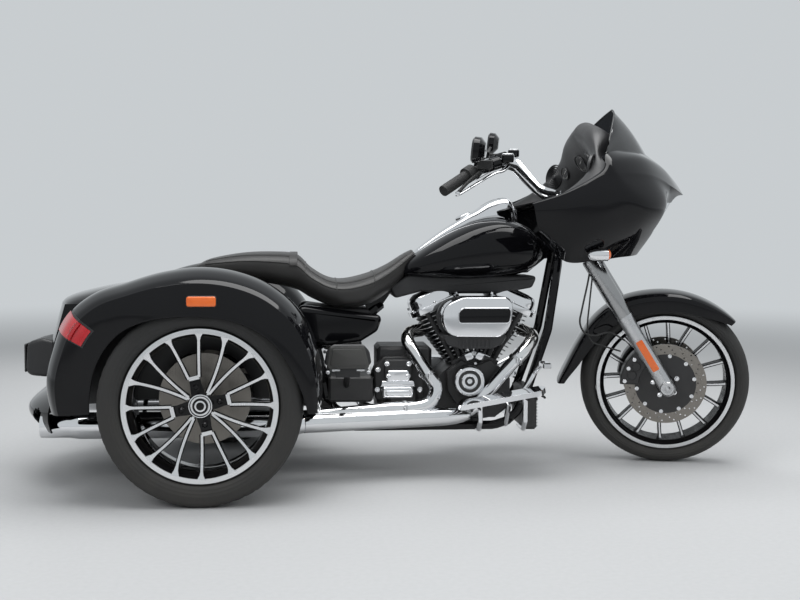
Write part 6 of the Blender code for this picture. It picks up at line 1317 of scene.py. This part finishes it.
gearboxBolts = ((0.6120, -0.181, 0.396), (0.690, -0.181, 0.396), (0.617, -0.193, 0.354), (0.685, -0.193, 0.354),
                (0.582, -0.151, 0.372), (0.580, -0.151, 0.300), (0.733, -0.151, 0.300), (0.737, -0.151, 0.352),
                (0.722, -0.151, 0.392))
innerBay = (((0.312, 0.600), (0.560, 0.585), (0.545, 0.500), (0.330, 0.480)), 0.02, 5, -0.108, 0.108, 0.006)
sideCover = ((0.296, 0.606), (0.600, 0.566), (0.580, 0.510), (0.520, 0.472), (0.400, 0.456), (0.318, 0.470),
             (0.292, 0.520))
boards = dict(frame=((0.3935, 0.397), (0.5435, 0.397), (0.524, 0.474), (0.405, 0.474)),
              inset=((0.4065, 0.408), (0.5305, 0.408), (0.5135, 0.465), (0.4165, 0.465)), hinges=(0.412, 0.496),
              bolts=(0.400, 0.538), ribsFrom=0.868, ribsTo=1.150, ribs=11, middle=1.0095, height=0.267,
              tilt=math.radians(10))


def makeEngineTrim():
    centre = crank + camCover["place"]
    make("camRing", lathe(smooth(camCover["steps"], 3), centre, (0, -1, 0), 72), "chrome", crease=50)
    turn = roundel(camCover["bolts"]) + 0.4
    around = crank + np.stack([-0.01 + 0.092 * np.cos(turn), np.full(6, -0.1215), 0.035 + 0.070 * np.sin(turn)], -1)
    make("camBolts", copies(capScrew(0.0055, 0.007), around, (0, -1, 0)), "chrome")
    tubes, collars, blocks = [], [], []
    for sign in (-1, 1):
        along, across = bankAxes(sign)
        for offset in pushrods["offsets"]:
            low = crank + along * pushrods["low"][0] + across * offset + sideways * pushrods["low"][1]
            high = crank + along * pushrods["high"][0] + across * (offset - 0.004) + sideways * pushrods["high"][1]
            tubes.append(rod(low, high, 0.0078, 0.0070, 20))
            collars += [lathe(pushrods["collar"], low + (high - low) * share, high - low, 20)
                        for share in pushrods["collars"]]
        corners = np.array(oblong(-0.004, -0.050, 0.030, 0.006))
        outline = (crank[[0, 2]] + np.outer(corners[:, 0] + 0.112, along[[0, 2]])
                   + np.outer(corners[:, 1], across[[0, 2]]))
        blocks.append(slab(outline, 0.010, 5, -0.070, -0.112, 0.006, 4))
    make("pushrodTubes", tubes, "satinBlack", crease=40)
    make("pushrodCollars", collars, "satinAlloy", crease=40)
    make("lifterBlocks", blocks, "chrome", crease=30)
    make("coilCover", slab(*coilCover), "castBlack", crease=40)
    make("gearboxFlange", [slab(*row) for row in gearboxFlange], "castBlack")
    make("gearboxCover", [slab(*row) for row in gearboxCover], "chrome", crease=40)
    make("gearboxBolts", copies(boltHead(0.0072, 0.008), gearboxBolts, (0, -1, 0)), "chrome")
    make("innerBay", slab(*innerBay), "castBlack")
    for word, sign in bothSides:
        make("sideCover" + word, slab(sideCover, 0.030, 8, sign * 0.104, sign * 0.168, 0.024, 10), "glossBlack",
             crease=40)
        make("passengerPanel" + word, [slab(boards["frame"], 0.014, 6, sign * 0.318, sign * 0.3435, 0.004, 5),
                                       slab(boards["inset"], 0.010, 6, sign * 0.342, sign * 0.3462, 0.0012)],
                                       "boardGrey", crease=40)
        pins = [rod((x, sign * 0.331, 0.3925), (x + 0.030, sign * 0.331, 0.3925), 0.0055) for x in boards["hinges"]]
        pins.append(copies(boltHead(0.0055, 0.006), [(x, sign * 0.343, 0.386) for x in boards["bolts"]],
                           (0, sign, 0)))
        make("passengerHinge" + word, pins, "satinAlloy")
        x = np.linspace(boards["ribsFrom"], boards["ribsTo"], boards["ribs"])
        z = boards["height"] + (x - boards["middle"]) * math.tan(boards["tilt"])
        ribs = [rod((a, sign * 0.226, b), (a, sign * 0.326, b), 0.0042, ease=0.001, sides=12) for a, b in zip(x, z)]
        make("floorboardRibs" + word, ribs, "gripRubber")
    fins = [rod((1.1655, -0.112, z), (1.1655, 0.112, z), 0.0036, ease=0.001, sides=12)
            for z in np.linspace(0.158, 0.284, 12)]
    make("coolerFins", fins, "castAlloy")


primary = dict(clutchX=0.673, ovalX=0.902, z=0.293, face=0.2005, screws=((0.673, 0.55), (0.918, -0.45)),
               screwRadius=0.0905,
               clutch=((0.072, -0.002), (0.072, 0.003), (0.0695, 0.0058), (0.060, 0.0062), (0.0575, 0.0042),
                       (0.034, 0.0040),
                       (0.0315, 0.0062), (0.018, 0.0074), (0.0, 0.0078)),
               badge=((0.0265, 0.004), (0.0265, 0.0078), (0.024, 0.0088), (0.0, 0.0092)))


def makePrimaryTrim():
    # left side: round clutch cover, oval inspection cover and the screws round the chain case
    p = primary
    centre, middle = np.array([p["clutchX"], p["face"], p["z"]]), (p["ovalX"], p["z"])
    flat = oval(0.052, 0.031, 2.8, 48)
    make("primaryTrim", [lathe(smooth(p["clutch"], 3), centre, sides=72),
                         prism(flat + middle, 0.1985, 0.2060, 0.003, 4),
                         prism(flat * 0.62 + middle, 0.2040, 0.2085)], "satinAlloy", crease=40)
    screws = [centre + radial(0.0650, roundel(5) + 0.3, 0.0055)]
    screws += [np.array([(p["ovalX"] + 0.043 * a, 0.2055, p["z"] + 0.015 * b) for a in (-1, 1) for b in (-1, 1)])]
    for x, start in p["screws"]:
        turn = np.linspace(start * np.pi, (start + 0.9) * np.pi, 5)
        screws.append(radial(p["screwRadius"], turn, 0.2000) + (x, 0, p["z"]))
    make("primaryScrews", copies(capScrew(0.0052, 0.005), np.vstack(screws), (0, 1, 0)), "chrome")
    make("primaryBadgeBed", lathe(smooth(p["badge"], 3), centre), "glossBlack")


signals = dict(x=1.3197, y=0.376, z=0.787, arm=((0.004, 0.012), (0.030, 0.018), (0.046, 0.012)),
               back=((0.0, -0.030), (0.0195, -0.030), (0.0210, -0.027), (0.0212, -0.005), (0.0200, 0.014),
                     (0.0155, 0.029),
                     (0.0085, 0.0375), (0.0, 0.040)),
               lens=((0.0, -0.0405), (0.0105, -0.0398), (0.0168, -0.036), (0.0192, -0.0305), (0.0192, -0.028),
                     (0.0, -0.027)))


def makeSignals():
    s = signals
    for word, sign in bothSides:
        place = np.array([s["x"], sign * s["y"], s["z"]])
        arm = [place + (0.004, -sign * inward, up) for inward, up in s["arm"]]
        make("turnSignal" + word, [lathe(smooth(s["back"], 3), place, (-1, 0, 0)),
                                   tube(smooth(arm, 4), 0.0075, 16, (1, 0, 0))],
             "chrome", node="turn_signal_" + word.lower(), crease=40)
        make("turnSignalLens" + word, lathe(smooth(s["lens"], 3), place, (-1, 0, 0)), "amberLens", crease=40)


# routes from each port to the right muffler, and the branch to the left one; muffler's profile as
# (share of its radius, share of its length, and metres along)
pipes = dict(header=0.024, branchRadius=0.0216, shieldRadius=0.033, muffler=0.045, length=0.890, spread=0.300,
             height=0.205,
             front=0.330,
             rear=((0.750, -0.0315, 0.504), (0.700, -0.08925, 0.498), (0.692, -0.15225, 0.464),
                   (0.745, -0.20475, 0.375),
                   (0.782, -0.2205, 0.315), (0.760, -0.22575, 0.262), (0.695, -0.231, 0.245),
                   (0.600, -0.24675, 0.243),
                   (0.320, -0.2856, 0.225)),
             ahead=((1.120, -0.0315, 0.504), (1.150, -0.08925, 0.484), (1.115, -0.147, 0.444),
                    (1.050, -0.1701, 0.380),
                    (0.980, -0.1764, 0.300), (0.920, -0.18375, 0.238), (0.840, -0.20475, 0.213),
                    (0.700, -0.231, 0.212),
                    (0.320, -0.294, 0.208)),
             branch=((0.62, -0.25, 0.222), (0.545, -0.16, 0.232), (0.53, 0, 0.232), (0.52, 0.16, 0.232),
                     (0.44, 0.29, 0.215),
                     (0.320, 0.300, 0.205)),
             shield=((0.905, -0.2121, 0.216), (0.32, -0.300, 0.205)), shieldSizes=(0.42, 0.74, 0.90, 0.97),
             rearClamps=(0.42, 0.80),
             aheadClamps=(0.34, 0.86),
             clamp=((0.0262, -0.0060), (0.0275, -0.0050), (0.0275, 0.0050), (0.0262, 0.0060), (0.0235, 0.0060),
                    (0.0235, -0.0060)),
             profile=((0.0, 0, 0), (0.60, 0, 0), (0.64, 0, 0.004), (0.86, 0, 0.034), (0.98, 0, 0.06), (1, 0, 0.085),
                      (1, 0.85, 0),
                      (1, 0.86, 0), (0.92, 0.885, 0), (0.90, 0.90, 0), (0.90, 1, -0.002), (0.88, 1, 0), (0.86, 1, 0),
                      (0.84, 1, -0.003), (0.82, 0.93, 0), (0.0, 0.93, 0)))


def makePipes():
    p = pipes
    rear, ahead, branch = (smooth(p[route], 8) for route in ("rear", "ahead", "branch"))
    shield = tube(np.linspace(*np.array(p["shield"]), 24), p["shieldRadius"], 32, (0, 0, 1),
                  np.concatenate([p["shieldSizes"], np.ones(20)]))
    parts = [tube(rear, p["header"], 28, (0.3, 1, 0.2)), tube(ahead, p["header"], 28, (0.3, 1, 0.2)),
             tube(branch, p["branchRadius"], 24, (0.2, 0.1, 1)), shield]
    make("exhaustHeaders", parts, "pipeChrome", node="exhaust_headers", crease=40)
    clamps, screws, half = [], [], np.array([0, 0, 0.010])  # clamps where the shields meet
    for path, shares in ((rear, p["rearClamps"]), (ahead, p["aheadClamps"])):
        for share in shares:
            k = int(share * (len(path) - 1))
            clamps.append(lathe(p["clamp"], path[k], path[k + 1] - path[k - 1], 36, closed=True))
            place = path[k] - sideways * 0.027
            screws.append(rod(place - half, place + half, 0.0034, sides=12, ease=0.0008))
    make("pipeClamps", clamps, "satinAlloy")
    make("pipeClampScrews", screws, "chrome")
    for word, sign in bothSides:
        start = np.array([p["front"], sign * p["spread"], p["height"]])
        rows = np.array(p["profile"])
        profile = np.stack([rows[:, 0] * p["muffler"], rows[:, 1] * p["length"] + rows[:, 2]], -1)
        hang = start + (-p["length"] * 0.62, 0, p["muffler"] * 0.5)
        make("muffler" + word, [lathe(profile, start, (-1, 0, 0), 64),
                                rod(hang, (hang[0], sign * 0.1352, 0.386), 0.008)],
             "chrome", node="muffler_" + word.lower(), crease=30)


# CAD nodes whose shape is right, the finish they get and how far their edges are eased
easedNodes = (
    ("frame", "glossBlack", 0.0), ("crankcase", "castBlack", 0.002), ("cam_cover", "castBlack", 0.001),
    ("gearbox", "castBlack", 0.0015), ("primary_cover", "chrome", 0.0015), ("rear_axle", "castBlack", 0.001),
    ("battery_box", "castBlack", 0.0015), ("oil_cooler", "castBlack", 0.0015), ("floorboard_right", "chrome", 0.001),
    ("floorboard_left", "chrome", 0.001), ("passenger_board_right", "satinBlack", 0.001),
    ("passenger_board_left", "satinBlack", 0.001), ("brake_pedal", "chrome", 0.0005),
    ("shift_lever", "chrome", 0.0005),
    ("fork_tree", "satinBlack", 0.001), ("front_axle", "chrome", 0.0), ("grip_right", "gripRubber", 0.0005),
    ("grip_left", "gripRubber", 0.0005), ("mirror_right", "glossBlack", 0.0005),
    ("mirror_left", "glossBlack", 0.0005))


def easeOthers():
    # a copy of each node, its triangles merged to flat faces and its edges eased
    for node, finish, bevel in easedNodes:
        source = frame["nodes"][node]
        mesh = source.data.copy()
        mend(mesh, 2e-5, 2e-5, math.radians(1.5))
        dress(bpy.data.objects.new(node + "_eased", mesh), finish, source["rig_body"], node, 32, bevel=bevel)


for stage, work in (
    ("camera", makeCamera), ("floor and light", makeStudio), ("wheels", makeWheels), ("rear body", makeRearBody),
    ("trunk", makeTrunk), ("tank", makeTank), ("seat", makeSeat), ("fairing", makeFairing),
    ("front fender", makeFrontFender),
    ("fork", makeFork), ("bar", makeBar), ("cylinders", makeCylinders), ("air cleaner", makeAirCleaner),
    ("engine trim", makeEngineTrim), ("pipes", makePipes), ("left side", makePrimaryTrim), ("signals", makeSignals),
    ("controls", makeControls), ("other pieces", easeOthers),
):
    work()
    print("made", stage)
